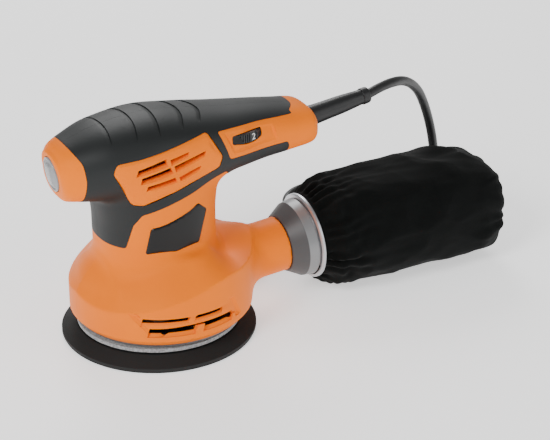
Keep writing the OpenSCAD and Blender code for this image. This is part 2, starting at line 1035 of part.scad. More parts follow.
// Spring-steel wires that hold the bag open
module bag_frame() {
    wire_r = 0.9;
    hoop_r = mouth_r - 5;
    far_x = bag_end_x - 16;
    far_z = bag_low + bag_half - 1.5;
    near_x = bag_start_x + 6;
    near_z = spigot_root[2] + (mouth + 6) * sin(spigot_pitch);
    color("silver") {
        for (x = [near_x, far_x])
            translate([x, 0, x == near_x ? near_z : far_z])
                rotate([0, 90, 0])
                    translate([0, 0, -wire_r])
                        tube(hoop_r + 1.5 * wire_r, hoop_r - 1.5 * wire_r, 2 * wire_r, 72);
        for (turn = [45:90:315])
            rod([near_x, hoop_r * cos(turn), near_z + hoop_r * sin(turn)],
                [far_x, hoop_r * cos(turn), far_z + hoop_r * sin(turn)], wire_r);
    }
}

// ---- Fasteners ----

module housing_screws() {
    color("dimgray")
        screw_axes() {
            translate([0, 0, head_y - screw_l])
                cylinder(r = screw_r, h = screw_l + eps, $fn = 24);
            translate([0, 0, head_y])
                difference() {
                    cylinder(r = screw_head_r, h = screw_head_h, $fn = 32);
                    translate([0, 0, screw_head_h - 1.4])
                        cylinder(r = 1.5, h = 2, $fn = 6);
                }
        }
}

// ---- Mains cord ----

module cord_sleeve() {
    bite = 12;
    color("black")
        sleeve_axis()
            difference() {
                union() {
                    translate([0, 0, -bite])
                        cylinder(r = sleeve_r + 1.5, h = 2.5, $fn = 48);
                    translate([0, 0, -bite])
                        cylinder(r = sleeve_r - 0.05, h = bite + 6, $fn = 48);
                    translate([0, 0, 6])
                        cylinder(r1 = sleeve_r - 0.05, r2 = sleeve_tip_r, h = sleeve_l - 6, $fn = 48);
                }
                translate([0, 0, -bite - 1])
                    cylinder(r = cord_r, h = bite + sleeve_l - 3, $fn = 32);
            }
}

module cord_clamp() {
    color("dimgray")
        translate([tail_reach - 19, 0, sleeve_z + 5.4])
            difference() {
                cube([6, 24, 3], center = true);
                for (side = [-1, 1])
                    translate([0, side * 8.5, -5])
                        cylinder(r = screw_r - 0.5, h = 10, $fn = 24);
            }
}

module clamp_screws() {
    color("silver")
        for (side = [-1, 1])
            translate([tail_reach - 19, side * 8.5, sleeve_z - 2]) {
                cylinder(r = screw_r - 0.5, h = 9, $fn = 24);
                translate([0, 0, 8.9])
                    cylinder(r = 2.8, h = 1.8, $fn = 24);
            }
}

function smooth_point(p, i, t) =
    let (last = len(p) - 1, a = p[max(i - 1, 0)], b = p[i], c = p[min(i + 1, last)],
        d = p[min(i + 2, last)])
    0.5 * (2 * b + (c - a) * t + (2 * a - 5 * b + 4 * c - d) * t * t
        + (3 * b - a - 3 * c + d) * t * t * t);

function smooth_path(p, steps) = concat(
    [for (i = [0:len(p) - 2], k = [0:steps - 1]) smooth_point(p, i, k / steps)], [p[len(p) - 1]]);

function unit(v) = v / norm(v);

function heading(p, i) = unit(p[min(i + 1, len(p) - 1)] - p[max(i - 1, 0)]);

// A round solid swept along a path; its ends are flat
module swept(path, r, sides) {
    rings = len(path);
    points = [for (i = [0:rings - 1])
        let (t = heading(path, i), u = unit(cross(t, [0, 0, 1])), v = cross(u, t))
        for (k = [0:sides - 1])
            path[i] + r * (u * cos(360 * k / sides) + v * sin(360 * k / sides))];
    walls = [for (i = [0:rings - 2], k = [0:sides - 1])
        let (a = i * sides + k, b = i * sides + (k + 1) % sides)
        [a, b, b + sides, a + sides]];
    polyhedron(points = points, faces = concat(walls, [[for (k = [sides - 1:-1:0]) k]],
        [[for (k = [0:sides - 1]) (rings - 1) * sides + k]]), convexity = 8);
}

module cord_lead() {
    color("black") {
        swept(smooth_path(concat([sleeve_tip], CORD_DROP), 2), cord_r, cord_sides);
        swept(smooth_path(CORD_TAIL, 1), cord_r, cord_sides);
    }
}

module hank_outline(extra) {
    r = hank_w / 2 + extra;
    half = (hank_l - hank_w) / 2;
    for (side = [-1, 1])
        translate([side * half, 0])
            circle(r, $fn = 64);
    square([2 * half, 2 * r], center = true);
}

module cord_hank() {
    color("black")
        translate([hank_x, hank_y, tie_t])
            linear_extrude(hank_h)
                hank_outline(0);
}

module cord_tie() {
    color("dimgray")
        translate([hank_x, hank_y, 0])
            difference() {
                translate([-tie_w / 2, -hank_w / 2 - tie_t, 0])
                    cube([tie_w, hank_w + 2 * tie_t, hank_h + 2 * tie_t]);
                translate([-tie_w, -hank_w / 2, tie_t])
                    cube([2 * tie_w, hank_w, hank_h]);
            }
}

module plug_body() {
    grip_l = 20;
    color("black")
        translate([plug_x, plug_y, plug_z]) {
            hull() {
                translate([0, -plug_w / 2 + 5, -plug_h / 2])
                    cube([plug_l - grip_l - 4, plug_w - 10, plug_h]);
                translate([0, -plug_w / 2, -plug_h / 2 + 4])
                    cube([plug_l - grip_l - 4, plug_w, plug_h - 8]);
                translate([plug_l - grip_l, -8, -6])
                    cube([eps, 16, 12]);
            }
            hull() {
                translate([plug_l - grip_l, -8, -6])
                    cube([eps, 16, 12]);
                translate([plug_l, 0, 0])
                    rotate([0, -90, 0])
                        cylinder(r = cord_r + 1.2, h = 1, $fn = 24);
            }
        }
}

module plug_pins() {
    color("silver")
        for (side = [-1, 1])
            translate([plug_x, plug_y + side * pin_pitch / 2, plug_z])
                rotate([0, -90, 0])
                    cylinder(r = pin_r, h = pin_l, $fn = 32);
}

housing_left();
housing_right();
grip_left();
grip_right();
badge_left();
badge_right();
switch_boot();
switch_rocker();
switch_body();
speed_dial();
speed_module();
field_core();
field_coils();
armature_shaft();
armature_core();
armature_coils();
commutator();
cooling_fan();
upper_bearing();
bearing_sleeve();
lower_bearing();
bearing_plate();
eccentric_hub();
dust_fan();
pad_bearing();
pad_spindle();
pad_plate();
pad_foam();
hook_layer();
pad_washer();
pad_screw();
brake_ring();
felt_ring();
brush_holders();
carbon_brushes();
brush_springs();
capacitor();
spigot_tube();
bag_collar();
collar_ring();
bag_cloth();
bag_hem();
bag_frame();
housing_screws();
cord_sleeve();
cord_clamp();
clamp_screws();
cord_lead();
cord_hank();
cord_tie();
plug_body();
plug_pins();
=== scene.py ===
"""Orbital sander: its visible pieces, built around the packed CAD frame."""
import math

import bmesh
import bpy
import numpy as np
from bpy.props import FloatProperty, FloatVectorProperty, IntProperty, PointerProperty
from mathutils import Matrix, Vector, noise
from mathutils.geometry import delaunay_2d_cdt


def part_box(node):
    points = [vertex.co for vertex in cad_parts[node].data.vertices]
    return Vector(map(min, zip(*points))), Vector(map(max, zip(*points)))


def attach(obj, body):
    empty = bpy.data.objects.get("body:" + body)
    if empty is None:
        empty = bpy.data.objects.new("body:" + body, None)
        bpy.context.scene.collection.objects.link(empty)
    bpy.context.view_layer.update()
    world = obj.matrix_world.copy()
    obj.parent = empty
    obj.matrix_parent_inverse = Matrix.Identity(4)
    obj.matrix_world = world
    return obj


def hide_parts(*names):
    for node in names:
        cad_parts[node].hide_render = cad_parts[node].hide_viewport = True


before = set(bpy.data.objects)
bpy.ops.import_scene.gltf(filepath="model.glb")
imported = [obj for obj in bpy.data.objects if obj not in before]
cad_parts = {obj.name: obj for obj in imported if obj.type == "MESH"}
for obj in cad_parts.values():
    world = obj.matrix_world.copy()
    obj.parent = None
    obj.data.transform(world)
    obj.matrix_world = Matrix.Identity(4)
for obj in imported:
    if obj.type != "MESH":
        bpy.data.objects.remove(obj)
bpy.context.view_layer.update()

bl_info = {
    "name": "Orbital sander",
    "version": (1, 0, 0),
    "blender": (4, 5, 0),
    "location": "View3D > Sidebar > Sander",
    "description": "Builds the visible pieces of a palm sander around its CAD frame",
    "category": "Add Mesh",
}

MM = 0.001
SIDES = {"left": -1, "right": 1}

# The long form of the head: place along X, height of the centre, half width, half height
HEAD_X = (-68, -65, -56, -36, -8, 20, 46, 70, 90, 103, 108)
HEAD_MID = (123, 123.5, 124.5, 126, 126, 125.5, 124.5, 124, 123, 122.5, 122)
HEAD_HALF_W = (15.6, 19, 23.8, 30.6, 34, 32.6, 29.7, 25.1, 23.3, 21.3, 17.6)
HEAD_HALF_H = (14.5, 17, 19.5, 23.5, 26, 23, 19.5, 16.8, 14.4, 12.8, 10)
HEAD_POWER = 2.5
NOSE_LEAN = math.radians(8)
NOSE_X = -68
NOSE_Z = 122.8
TAIL_X = 108

# The bend protector leaves the tail at this height and falls this many degrees
RELIEF_Z = 122.5
RELIEF_FALL = 8

# The motor neck and the skirt
NECK_X = -1.25
NECK_HALF = (38.5, 34.5)
NECK_POWER = 2.3
SKIRT_X = 2
SKIRT_R = 58.5
SKIRT_Z = 13
SHOULDER_Z = 40.6
DOME_TOP = 66.5
WALL = 3
GRIP_T = 1.4

# The rear end of the grip's top, and the inset of the grip in its bed
GRIP_END = 95.5
GRIP_GAP = 0.16

# Places past the housing along Y, for cutters that leave its middle alone
SIDE_REACH = ((-90, -12), (12, 90))
OUTSIDE_Y = 62

# The spigot's axis, the fairing round it, and where the collar's pale band starts
SPIGOT_ROOT = Vector((40, 0, 33.8))
SPIGOT_PITCH = math.radians(4)
FAIRING_L = 48
FAIRING_R = 18
BAND_FROM = 57.6

# Where the dial's first digit is, from the middle of its window
DIGITS_FROM = math.radians(-42)

# Outlines seen from the side, as (x, z)
PANEL = [(-40, 128), (-37.5, 133.6), (-22, 134.8), (2, 138.2), (24, 141), (32.5, 125), (30, 118),
         (0, 109.6), (-22, 103.3), (-28, 104.3)]
BADGE = [(-18, 87.2), (14.6, 97.6), (21.4, 91.2), (14.4, 71.2), (-2.3, 69.6), (-21.7, 70.2)]
GRIP = [(-61, 200), (-61, 143), (-56.3, 135), (-55.2, 124), (-56.2, 110), (-58, 100), (-58, 73.5),
        (-31.5, 73.5), (-27.4, 90), (-22.5, 96.8), (8, 104.6), (36.5, 112.2), (41, 107.5), (44, 98),
        (84.6, 98), (83.6, 117.5), (82.2, 121.1), (38.4, 121.2), (31.8, 139.3), (62, 137.6),
        (86.5, 135.4), (99, 134.8), (99, 200)]
TAIL_PANEL = [(35, 138), (46, 137), (64, 135.4), (72.5, 134.6), (74.5, 124.4), (67, 124.6),
              (41, 123.8)]
DIAL_WINDOW = [(41.4, 134.2), (63.6, 134.4), (63.2, 129.6), (57.5, 127.6), (51, 127.4), (41, 129.6)]

# Cooling slots in the side panel: corners of the opening, as (x, z)
SIDE_SLOTS = [
    [(-26, 125.1), (-6.6, 129.2), (-7.2, 132.6), (-24.6, 128.6)],
    [(-23.4, 119.5), (-3.2, 123.4), (-4.4, 126.6), (-22.4, 123)],
    [(-20, 113.9), (-0.9, 117.4), (-1.7, 119.6), (-18.8, 116.8)],
    [(-2.6, 129.6), (8, 132.3), (8.4, 133.6), (-3.2, 131.6)],
    [(0.2, 124.4), (19.6, 129.4), (20.2, 131.6), (-0.5, 127)],
    [(3, 117.8), (15.6, 121.4), (16, 122.6), (2.4, 119.4)]]

# Slots in the skirt: first angle, last angle, height of the lower edge
SKIRT_SLOTS = [(-38, -8, 31.6), (-4, 16, 31.9), (-34, -4, 24.4), (1, 24, 24.8)]
SKIRT_FIELD = [(-46, 38.6), (26, 39), (34, 23.4), (-31, 22.6)]

# Housing screws, as (x, z), and the radius of their wells
SCREW_WELL_R = 4
SCREWS = [(-42, 112), (30, 133), (75, 131), (-32.7, 60.9), (30.5, 60.2)]

# Grip grooves: place at the crown, place at the side, angle from the crown where they end,
# then the length of their ramp and their depth
GROOVES = [(-34.5, -38, 59), (-17, -23, 62), (-2.5, -8, 62), (16.5, 8, 58), (30, 22, 50)]
GROOVE_RAMP = 3.6
GROOVE_DEPTH = 0.6

# Half axes of the recess in the nose and of the cover over the switch in it
NOSE_RECESS = (11.9, 10.3)
COVER_HALF = (11.5, 9.9)

# The free lead, in millimetres, from the tip of the strain relief to the hank
LEAD = [(153.6, 0, 128.9), (166, 4, 130), (178, 9, 129), (190, 16, 125), (201, 23, 118),
        (211, 30, 108), (219, 36, 96), (226, 41, 82), (231, 44, 68), (235, 47, 54), (238, 49, 40),
        (242, 50, 27), (247, 50, 16), (254, 51, 9), (262, 54, 6), (269, 60, 5), (274, 68, 4.5),
        (276, 77, 4.4), (274, 86, 4.4), (269, 94, 4.4), (262, 99, 4.4), (253, 101.8, 4.4),
        (242, 101.8, 4.4), (231.5, 101.8, 4.4)]
TAIL_LEAD = [(138.2, 76.2, 10.6), (137.3, 69.5, 10.4), (135.2, 64.4, 10.2), (133, 60.5, 9.9),
             (130, 57.2, 9.6), (126, 54.3, 9.2), (121, 52, 8.8), (116, 51, 8.5)]
CORD_D = 6.4
HANK_MID = (190, 76.2)
HANK_RUN = 52.4
HANK_Z = 4.2
HANK_TRACKS = [(25.6, 0), (19.2, 0), (19.2, 1), (19.2, 2), (25.6, 2), (25.6, 1)]

# The bag's form: place along X, half width, half height, height of the centre, squareness
BAG_X = (107.8, 112, 120, 134, 160, 195, 222, 236, 243, 245.8)
BAG_HALF_W = (27.2, 29.5, 36, 37.6, 38.2, 38.6, 38, 35.5, 31, 24)
BAG_HALF_H = (27.2, 29, 34.4, 36, 35.6, 35.2, 34.4, 32.4, 28, 21)
BAG_MID = (38.6, 38.6, 38.2, 38, 38.2, 38.4, 37.6, 36.6, 36, 36)
BAG_POWER = (2, 2, 2.1, 2.25, 2.4, 2.6, 2.8, 2.9, 2.9, 2.8)


# ---- Small tools ----

def in_scene(name, data):
    """A new object, linked to the scene."""
    obj = bpy.data.objects.new(name, data)
    bpy.context.scene.collection.objects.link(obj)
    return obj


def place_mesh(name, mesh, body, material, stands_for=(), sharp=35):
    """Puts a finished mesh in the scene as a piece of the sander."""
    obj = in_scene(name, mesh)
    mesh.name = name
    mesh.materials.clear()
    mesh.materials.append(material)
    mesh.shade_smooth()
    mesh.set_sharp_from_angle(angle=math.radians(sharp))
    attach(obj, body)
    if stands_for:
        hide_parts(*stands_for)
    return obj


def mesh_of(points, faces, outward=False):
    """A mesh from points in millimetres."""
    mesh = bpy.data.meshes.new("piece")
    mesh.from_pydata((np.asarray(points, float) * MM).tolist(), [], [tuple(f) for f in faces])
    if outward:
        work = bmesh.new()
        work.from_mesh(mesh)
        bmesh.ops.remove_doubles(work, verts=work.verts, dist=1e-7)
        bmesh.ops.recalc_face_normals(work, faces=work.faces)
        work.to_mesh(mesh)
        work.free()
    mesh.update()
    return mesh


def boolean(base, *steps):
    """Cuts, joins or intersects a closed mesh with others, in order."""
    body = in_scene("body", base)
    tools = []
    for operation, tool in steps:
        other = in_scene("tool", tool)
        tools.append(other)
        change = body.modifiers.new("change", "BOOLEAN")
        change.operation = operation
        change.solver = "MANIFOLD"
        change.object = other
    graph = bpy.context.evaluated_depsgraph_get()
    result = bpy.data.meshes.new_from_object(body.evaluated_get(graph))
    for other in [body, *tools]:
        bpy.data.objects.remove(other)
    return result


def joined(*meshes):
    """Several meshes as one, without a union."""
    work = bmesh.new()
    for mesh in meshes:
        work.from_mesh(mesh)
    result = bpy.data.meshes.new("piece")
    work.to_mesh(result)
    work.free()
    return result


def smooth_between(x, xs, ys):
    """Values at x of a smooth curve through (xs, ys) that doesn't overshoot."""
    xs, ys = np.asarray(xs, float), np.asarray(ys, float)
    h = np.diff(xs)
    d = np.diff(ys) / h
    m = np.empty(len(xs))
    m[0], m[-1] = d[0], d[-1]
    same = d[:-1] * d[1:] > 0
    before, after = np.where(same, d[:-1], 1), np.where(same, d[1:], 1)
    w = 2 * h[1:] + h[:-1], h[1:] + 2 * h[:-1]
    m[1:-1] = np.where(same, (w[0] + w[1]) / (w[0] / before + w[1] / after), 0)
    x = np.clip(x, xs[0], xs[-1])
    i = np.clip(np.searchsorted(xs, x) - 1, 0, len(h) - 1)
    t = (x - xs[i]) / h[i]
    return (ys[i] * (1 + 2 * t) * (1 - t) ** 2 + m[i] * h[i] * t * (1 - t) ** 2
            + ys[i + 1] * t * t * (3 - 2 * t) + m[i + 1] * h[i] * t * t * (t - 1))


def ease(t):
    t = np.clip(t, 0, 1)
    return t * t * (3 - 2 * t)


def blend_in(a, b, reach):
    """Union of two distance fields with a fillet."""
    h = np.clip(0.5 + 0.5 * (b - a) / reach, 0, 1)
    return b + (a - b) * h - reach * h * (1 - h)


def both(a, b, reach):
    """Intersection of two distance fields with a rounded edge."""
    return -blend_in(-a, -b, reach)


# ---- The housing's form, as a distance field in millimetres ----

def head_radius(x, sine, cosine):
    """Distance from the head's centre line to its surface in a direction from the crown."""
    half_w = smooth_between(x, HEAD_X, HEAD_HALF_W)
    half_h = smooth_between(x, HEAD_X, HEAD_HALF_H)
    return ((np.abs(sine) / half_w) ** HEAD_POWER
            + (np.abs(cosine) / half_h) ** HEAD_POWER) ** (-1 / HEAD_POWER)


def head(x, y, z):
    up = z - smooth_between(x, HEAD_X, HEAD_MID)
    reach = np.maximum(np.hypot(y, up), 1e-6)
    side = reach - head_radius(x, y / reach, up / reach)
    nose = -(x - NOSE_X) * math.cos(NOSE_LEAN) - (z - NOSE_Z) * math.sin(NOSE_LEAN)
    return both(both(side, nose, 2.5), x - TAIL_X, 3)


def neck(x, y, z):
    half_x = NECK_HALF[0] + 4 * ease((z - 82) / 36)
    half_y = NECK_HALF[1] - 1.5 * ease((z - 90) / 28)
    reach = np.maximum(np.hypot(x - NECK_X, y), 1e-6)
    wide = ((np.abs(x - NECK_X) / reach / half_x) ** NECK_POWER
            + (np.abs(y) / reach / half_y) ** NECK_POWER) ** (-1 / NECK_POWER)
    return np.maximum(np.maximum(reach - wide, z - 118), 40 - z)


def dome(x, y, z):
    """The dome over the fan: two bulging sides that meet in a ridge down the front. It rises
    towards the back and levels out where the fairing leaves it."""
    rise = smooth_between(x, (-58, 20, 40, 61, 90), (0, 11.8, 13.8, 10, 2))
    keel = 9
    rho = np.hypot(x - 13, np.abs(y) + keel) - keel
    front_top = smooth_between(rho, (0, 34, 38.5, 43.5, 49.9, 55.6, 59, 75),
                               (65, 63, 59.6, 56.2, 52, 46.6, 41.6, 20))
    side_top = smooth_between(rho, (0, 34, 38.5, 43.5, 49, 54, 59, 75),
                              (69, 66.5, 61, 55.2, 50, 45.4, 40.6, 22))
    side_share = ease((np.arctan2(np.abs(y), np.maximum(-(x - 2), 1e-6)) - 0.1) / 0.9)
    top = front_top + (side_top - front_top) * side_share
    level = 1 - ease((x - 4) / 34)
    slope = (z - (SHOULDER_Z + (top - SHOULDER_Z) * level + rise)) * 0.74
    return both(slope, z - DOME_TOP, 3)


def skirt(x, y, z, floor):
    around = np.hypot(x - SKIRT_X, y)
    form = np.maximum(around - SKIRT_R, dome(x, y, z))
    if floor:
        form = np.maximum(form, (around - 53) * 0.75 - (z - SKIRT_Z) * 0.66)
        form = np.maximum(form, SKIRT_Z - z)
    return form


def fairing(x, y, z):
    c, s = math.cos(SPIGOT_PITCH), math.sin(SPIGOT_PITCH)
    along = (x - SPIGOT_ROOT.x) * c + (z - SPIGOT_ROOT.z) * s
    up = -(x - SPIGOT_ROOT.x) * s + (z - SPIGOT_ROOT.z) * c
    radius = FAIRING_R + 7 * ease((26 - along) / 40)
    return np.maximum(np.maximum(np.hypot(y, up) - radius, along - FAIRING_L), -70 - along)


def housing_form(x, y, z, floor=True):
    low = blend_in(skirt(x, y, z, floor), fairing(x, y, z), 13)
    if floor:
        low = np.maximum(low, SKIRT_Z - z)
    upper = blend_in(head(x, y, z), neck(x, y, z), 5 + 8 * ease((x - 15) / 30))
    return blend_in(low, upper, 6)


def inner_form(x, y, z):
    return housing_form(x, y, z, floor=False) + WALL


def skin(field, low, high, step):
    """The surface where a field is zero, as a mesh with its points moved on to it."""
    axes = [np.arange(a, b + step, step) for a, b in zip(low, high)]
    shape = tuple(len(a) for a in axes)
    value = np.broadcast_to(field(axes[0][:, None, None], axes[1][None, :, None],
                                  axes[2][None, None, :]), shape)
    inside = value < 0
    corners = [(i, j, k) for i in (0, 1) for j in (0, 1) for k in (0, 1)]
    count = sum(inside[i:shape[0] - 1 + i, j:shape[1] - 1 + j, k:shape[2] - 1 + k].astype(np.int8)
                for i, j, k in corners)
    cells = np.argwhere((count > 0) & (count < 8))
    number = np.zeros(count.shape, np.int64)
    number[tuple(cells.T)] = np.arange(len(cells))
    total = np.zeros((len(cells), 3))
    hits = np.zeros(len(cells))
    at = {c: value[tuple((cells + c).T)] for c in corners}
    for a in corners:
        for axis in range(3):
            if a[axis]:
                continue
            b = tuple(v + (n == axis) for n, v in enumerate(a))
            cross = (at[a] < 0) != (at[b] < 0)
            share = np.where(cross, at[a] / np.where(cross, at[a] - at[b], 1), 0)
            total += cross[:, None] * np.array(a, float)
            total[:, axis] += share
            hits += cross
    points = np.array(low, float) + (cells + total / hits[:, None]) * step
    faces = []
    for axis in range(3):
        one, two = np.eye(3, dtype=int)[(axis + 1) % 3], np.eye(3, dtype=int)[(axis + 2) % 3]
        along = np.eye(3, dtype=int)[axis]
        size = [n - 1 if i == axis else n for i, n in enumerate(shape)]
        first = inside[:size[0], :size[1], :size[2]]
        second = inside[along[0]:, along[1]:, along[2]:]
        ends = np.argwhere(first != second)
        keep = (ends[:, (axis + 1) % 3] > 0) & (ends[:, (axis + 2) % 3] > 0)
        ends = ends[keep]
        ring = [number[tuple((ends - o).T)] for o in (one + two, two, 0 * one, one)]
        quads = np.stack(ring, 1)
        flip = ~first[tuple(ends.T)]
        quads[flip] = quads[flip][:, ::-1]
        faces.append(quads)
    for _ in range(4):
        here = field(*points.T)
        slope = np.stack([(field(*(points + d).T) - field(*(points - d).T)) / 0.1
                          for d in np.eye(3) * 0.05], 1)
        move = here[:, None] * slope / np.maximum((slope ** 2).sum(1), 0.2)[:, None]
        size = np.linalg.norm(move, axis=1, keepdims=True)
        points -= move * np.minimum(1, 0.5 * step / np.maximum(size, 1e-9))
    return mesh_of(points, np.concatenate(faces).tolist())


def side_depth(x, z, level=0.0):
    """How far the housing's surface is from the parting plane at (x, z)."""
    low, high = np.full(np.shape(x), 4.0), np.full(np.shape(x), 62.0)
    for _ in range(22):
        middle = (low + high) / 2
        inside = housing_form(x, middle, z) < level
        low, high = np.where(inside, middle, low), np.where(inside, high, middle)
    return (low + high) / 2


# ---- Outlines and the solids made from them ----

def rounded(outline, radius, steps=5):
    """An outline with its corners rounded."""
    points = [Vector(p) for p in outline]
    result = []
    for i, p in enumerate(points):
        ends = []
        for q in (points[i - 1], points[(i + 1) % len(points)]):
            gap = (q - p).length
            ends.append(p + (q - p) * (min(radius, gap * 0.45) / gap))
        for k in range(steps + 1):
            t = k / steps
            result.append(ends[0] * (1 - t) ** 2 + p * (2 * t * (1 - t)) + ends[1] * t * t)
    return result


def area_of(outline):
    return sum(a[0] * b[1] - b[0] * a[1]
               for a, b in zip(outline, list(outline[1:]) + [outline[0]])) / 2


def grown(outline, amount):
    """An outline moved outwards, or inwards for a negative amount."""
    turn = 1 if area_of(outline) > 0 else -1
    points = [Vector(p) for p in outline]
    result = []
    for i, p in enumerate(points):
        one = (p - points[i - 1]).normalized()
        two = (points[(i + 1) % len(points)] - p).normalized()
        n1, n2 = Vector((one.y, -one.x)), Vector((two.y, -two.x))
        result.append(p + (n1 + n2) * (turn * amount / max(1 + n1.dot(n2), 0.3)))
    return result


def lofted(rings):
    """A closed solid through rings that have the same number of points."""
    n = len(rings[0])
    points = [p for ring in rings for p in ring]
    faces = [(i * n + k, i * n + (k + 1) % n, (i + 1) * n + (k + 1) % n, (i + 1) * n + k)
             for i in range(len(rings) - 1) for k in range(n)]
    faces += [tuple(range(n))[::-1], tuple(range((len(rings) - 1) * n, len(rings) * n))]
    return mesh_of(points, faces, outward=True)


def prism(outline, low, high, axis="Y"):
    """An outline run between two places along an axis."""
    at = {"Y": lambda u, v, w: (u, w, v), "Z": lambda u, v, w: (u, v, w)}[axis]
    return lofted([[at(p[0], p[1], w) for p in outline] for w in (low, high)])


def block(low, high):
    return lofted([[(x, y, z) for x, y in ((low[0], low[1]), (high[0], low[1]),
                                           (high[0], high[1]), (low[0], high[1]))]
                   for z in (low[2], high[2])])


def edge_distance(points, outline):
    """Distance from each point to the nearest edge of an outline."""
    points = np.asarray(points, float)
    best = np.full(len(points), 1e9)
    ends = np.asarray([tuple(p) for p in outline], float)
    for a, b in zip(ends, np.roll(ends, -1, 0)):
        d = b - a
        t = np.clip(((points - a) @ d) / max(d @ d, 1e-12), 0, 1)
        best = np.minimum(best, np.linalg.norm(points - a - t[:, None] * d, axis=1))
    return best


def within(points, outline):
    points = np.asarray(points, float)
    inside = np.zeros(len(points), bool)
    ends = np.asarray([tuple(p) for p in outline], float)
    for a, b in zip(ends, np.roll(ends, -1, 0)):
        crosses = (a[1] > points[:, 1]) != (b[1] > points[:, 1])
        rise = b[1] - a[1] if abs(b[1] - a[1]) > 1e-12 else 1e-12
        inside ^= crosses & (points[:, 0] < (b[0] - a[0]) * (points[:, 1] - a[1]) / rise + a[0])
    return inside


def plate(outline, surface, top, bottom, rim=(), spacing=2.0):
    """A closed plate that follows a surface; top and bottom give its heights by the distance
    from its edge, and rim lists the distances where they bend."""
    loops = [[tuple(p) for p in outline]] + [[tuple(p) for p in grown(outline, -d)] for d in rim]
    points = [p for loop in loops for p in loop]
    edges, start = [], 0
    for loop in loops:
        n = len(loop)
        edges += [(start + k, start + (k + 1) % n) for k in range(n)]
        start += n
    flat = np.array(loops[0])
    low, high = flat.min(0), flat.max(0)
    grid = np.array([(u, v) for u in np.arange(low[0], high[0], spacing)
                     for v in np.arange(low[1], high[1], spacing)])
    clear = max(rim, default=0) + spacing * 0.35
    grid = grid[within(grid, loops[0]) & (edge_distance(grid, loops[0]) > clear)]
    points += [tuple(p) for p in grid]
    verts, _, tris = delaunay_2d_cdt([Vector(p) for p in points], edges, [], 1, 1e-6)[:3]
    uv = np.array([tuple(p) for p in verts])
    depth = edge_distance(uv, loops[0])
    depth[depth < 1e-4] = 0
    upper = surface(uv[:, 0], uv[:, 1], top(depth))
    lower = surface(uv[:, 0], uv[:, 1], bottom(depth))
    n = len(uv)
    seen = {}
    for t in tris:
        for a, b in zip(t, (*t[1:], t[0])):
            seen[(a, b)] = seen.get((a, b), 0) + 1
    border = [e for e in seen if (e[1], e[0]) not in seen]
    faces = [tuple(t) for t in tris] + [tuple(i + n for i in t[::-1]) for t in tris]
    faces += [(b, a, a + n, b + n) for a, b in border]
    return mesh_of(np.concatenate([upper, lower]), faces, outward=True)


def on_side(side):
    """Where a point at (x, z) lies on one side of the housing, at a height over it."""
    return lambda x, z, h: np.stack([x, side * (side_depth(x, z) + h), z], 1)


def on_skirt(side):
    """The same for the skirt, with the first coordinate in degrees from the side towards +X."""
    def at(angle, z, h):
        a, radius = np.radians(angle), SKIRT_R + h
        return np.stack([SKIRT_X + radius * np.sin(a), side * radius * np.cos(a), z], 1)
    return at


def full_turn(steps):
    """Angles all the way round."""
    return np.linspace(0, 2 * math.pi, steps, endpoint=False)


def turned(profile, matrix=None, steps=96):
    """A closed outline of (radius, height) turned about Z, then placed by a matrix."""
    n = len(profile)
    points = [(r * math.cos(2 * math.pi * k / steps), r * math.sin(2 * math.pi * k / steps), h)
              for k in range(steps) for r, h in profile]
    faces = [(k * n + i, ((k + 1) % steps) * n + i, ((k + 1) % steps) * n + (i + 1) % n,
              k * n + (i + 1) % n) for k in range(steps) for i in range(n)]
    if matrix is not None:
        points = [tuple(matrix @ Vector(p)) for p in points]
    return mesh_of(points, faces, outward=True)


def softened(profile, radius=0.4, steps=3):
    return [tuple(p) for p in rounded(profile, radius, steps)]


def spigot_axis():
    """From a turned profile's axes to the spigot's."""
    return Matrix.Translation(SPIGOT_ROOT) @ Matrix.Rotation(math.pi / 2 - SPIGOT_PITCH, 4, "Y")


def nose_axis():
    """From a form that rises along Z to the leaning face of the nose."""
    place = Matrix.Translation((NOSE_X, 0, NOSE_Z))
    return place @ Matrix.Rotation(-math.pi / 2 - NOSE_LEAN, 4, "Y")


def relief_axis():
    """From a turned profile's axes to the bend protector's."""
    place = Matrix.Translation((TAIL_X, 0, RELIEF_Z))
    return place @ Matrix.Rotation(math.radians(90 - RELIEF_FALL), 4, "Y")


# ---- Materials ----

class Value:
    """A shader socket that adds, multiplies and so on as a number does."""

    def __init__(self, tree, socket):
        self.tree = tree
        self.socket = socket

    def math(self, operation, *terms, clamp=False):
        node = self.tree.nodes.new("ShaderNodeMath")
        node.operation = operation
        node.use_clamp = clamp
        for port, term in zip(node.inputs, terms):
            if isinstance(term, Value):
                self.tree.links.new(term.socket, port)
            else:
                port.default_value = term
        return Value(self.tree, node.outputs[0])

    def __add__(self, other):
        return self.math("ADD", self, other)

    def __sub__(self, other):
        return self.math("SUBTRACT", self, other)

    def __rsub__(self, other):
        return self.math("SUBTRACT", other, self)

    def __mul__(self, other):
        return self.math("MULTIPLY", self, other)

    __radd__ = __add__
    __rmul__ = __mul__

    def step(self, low, high):
        """0 below low, 1 above high."""
        return self.math("DIVIDE", self - low, high - low, clamp=True)


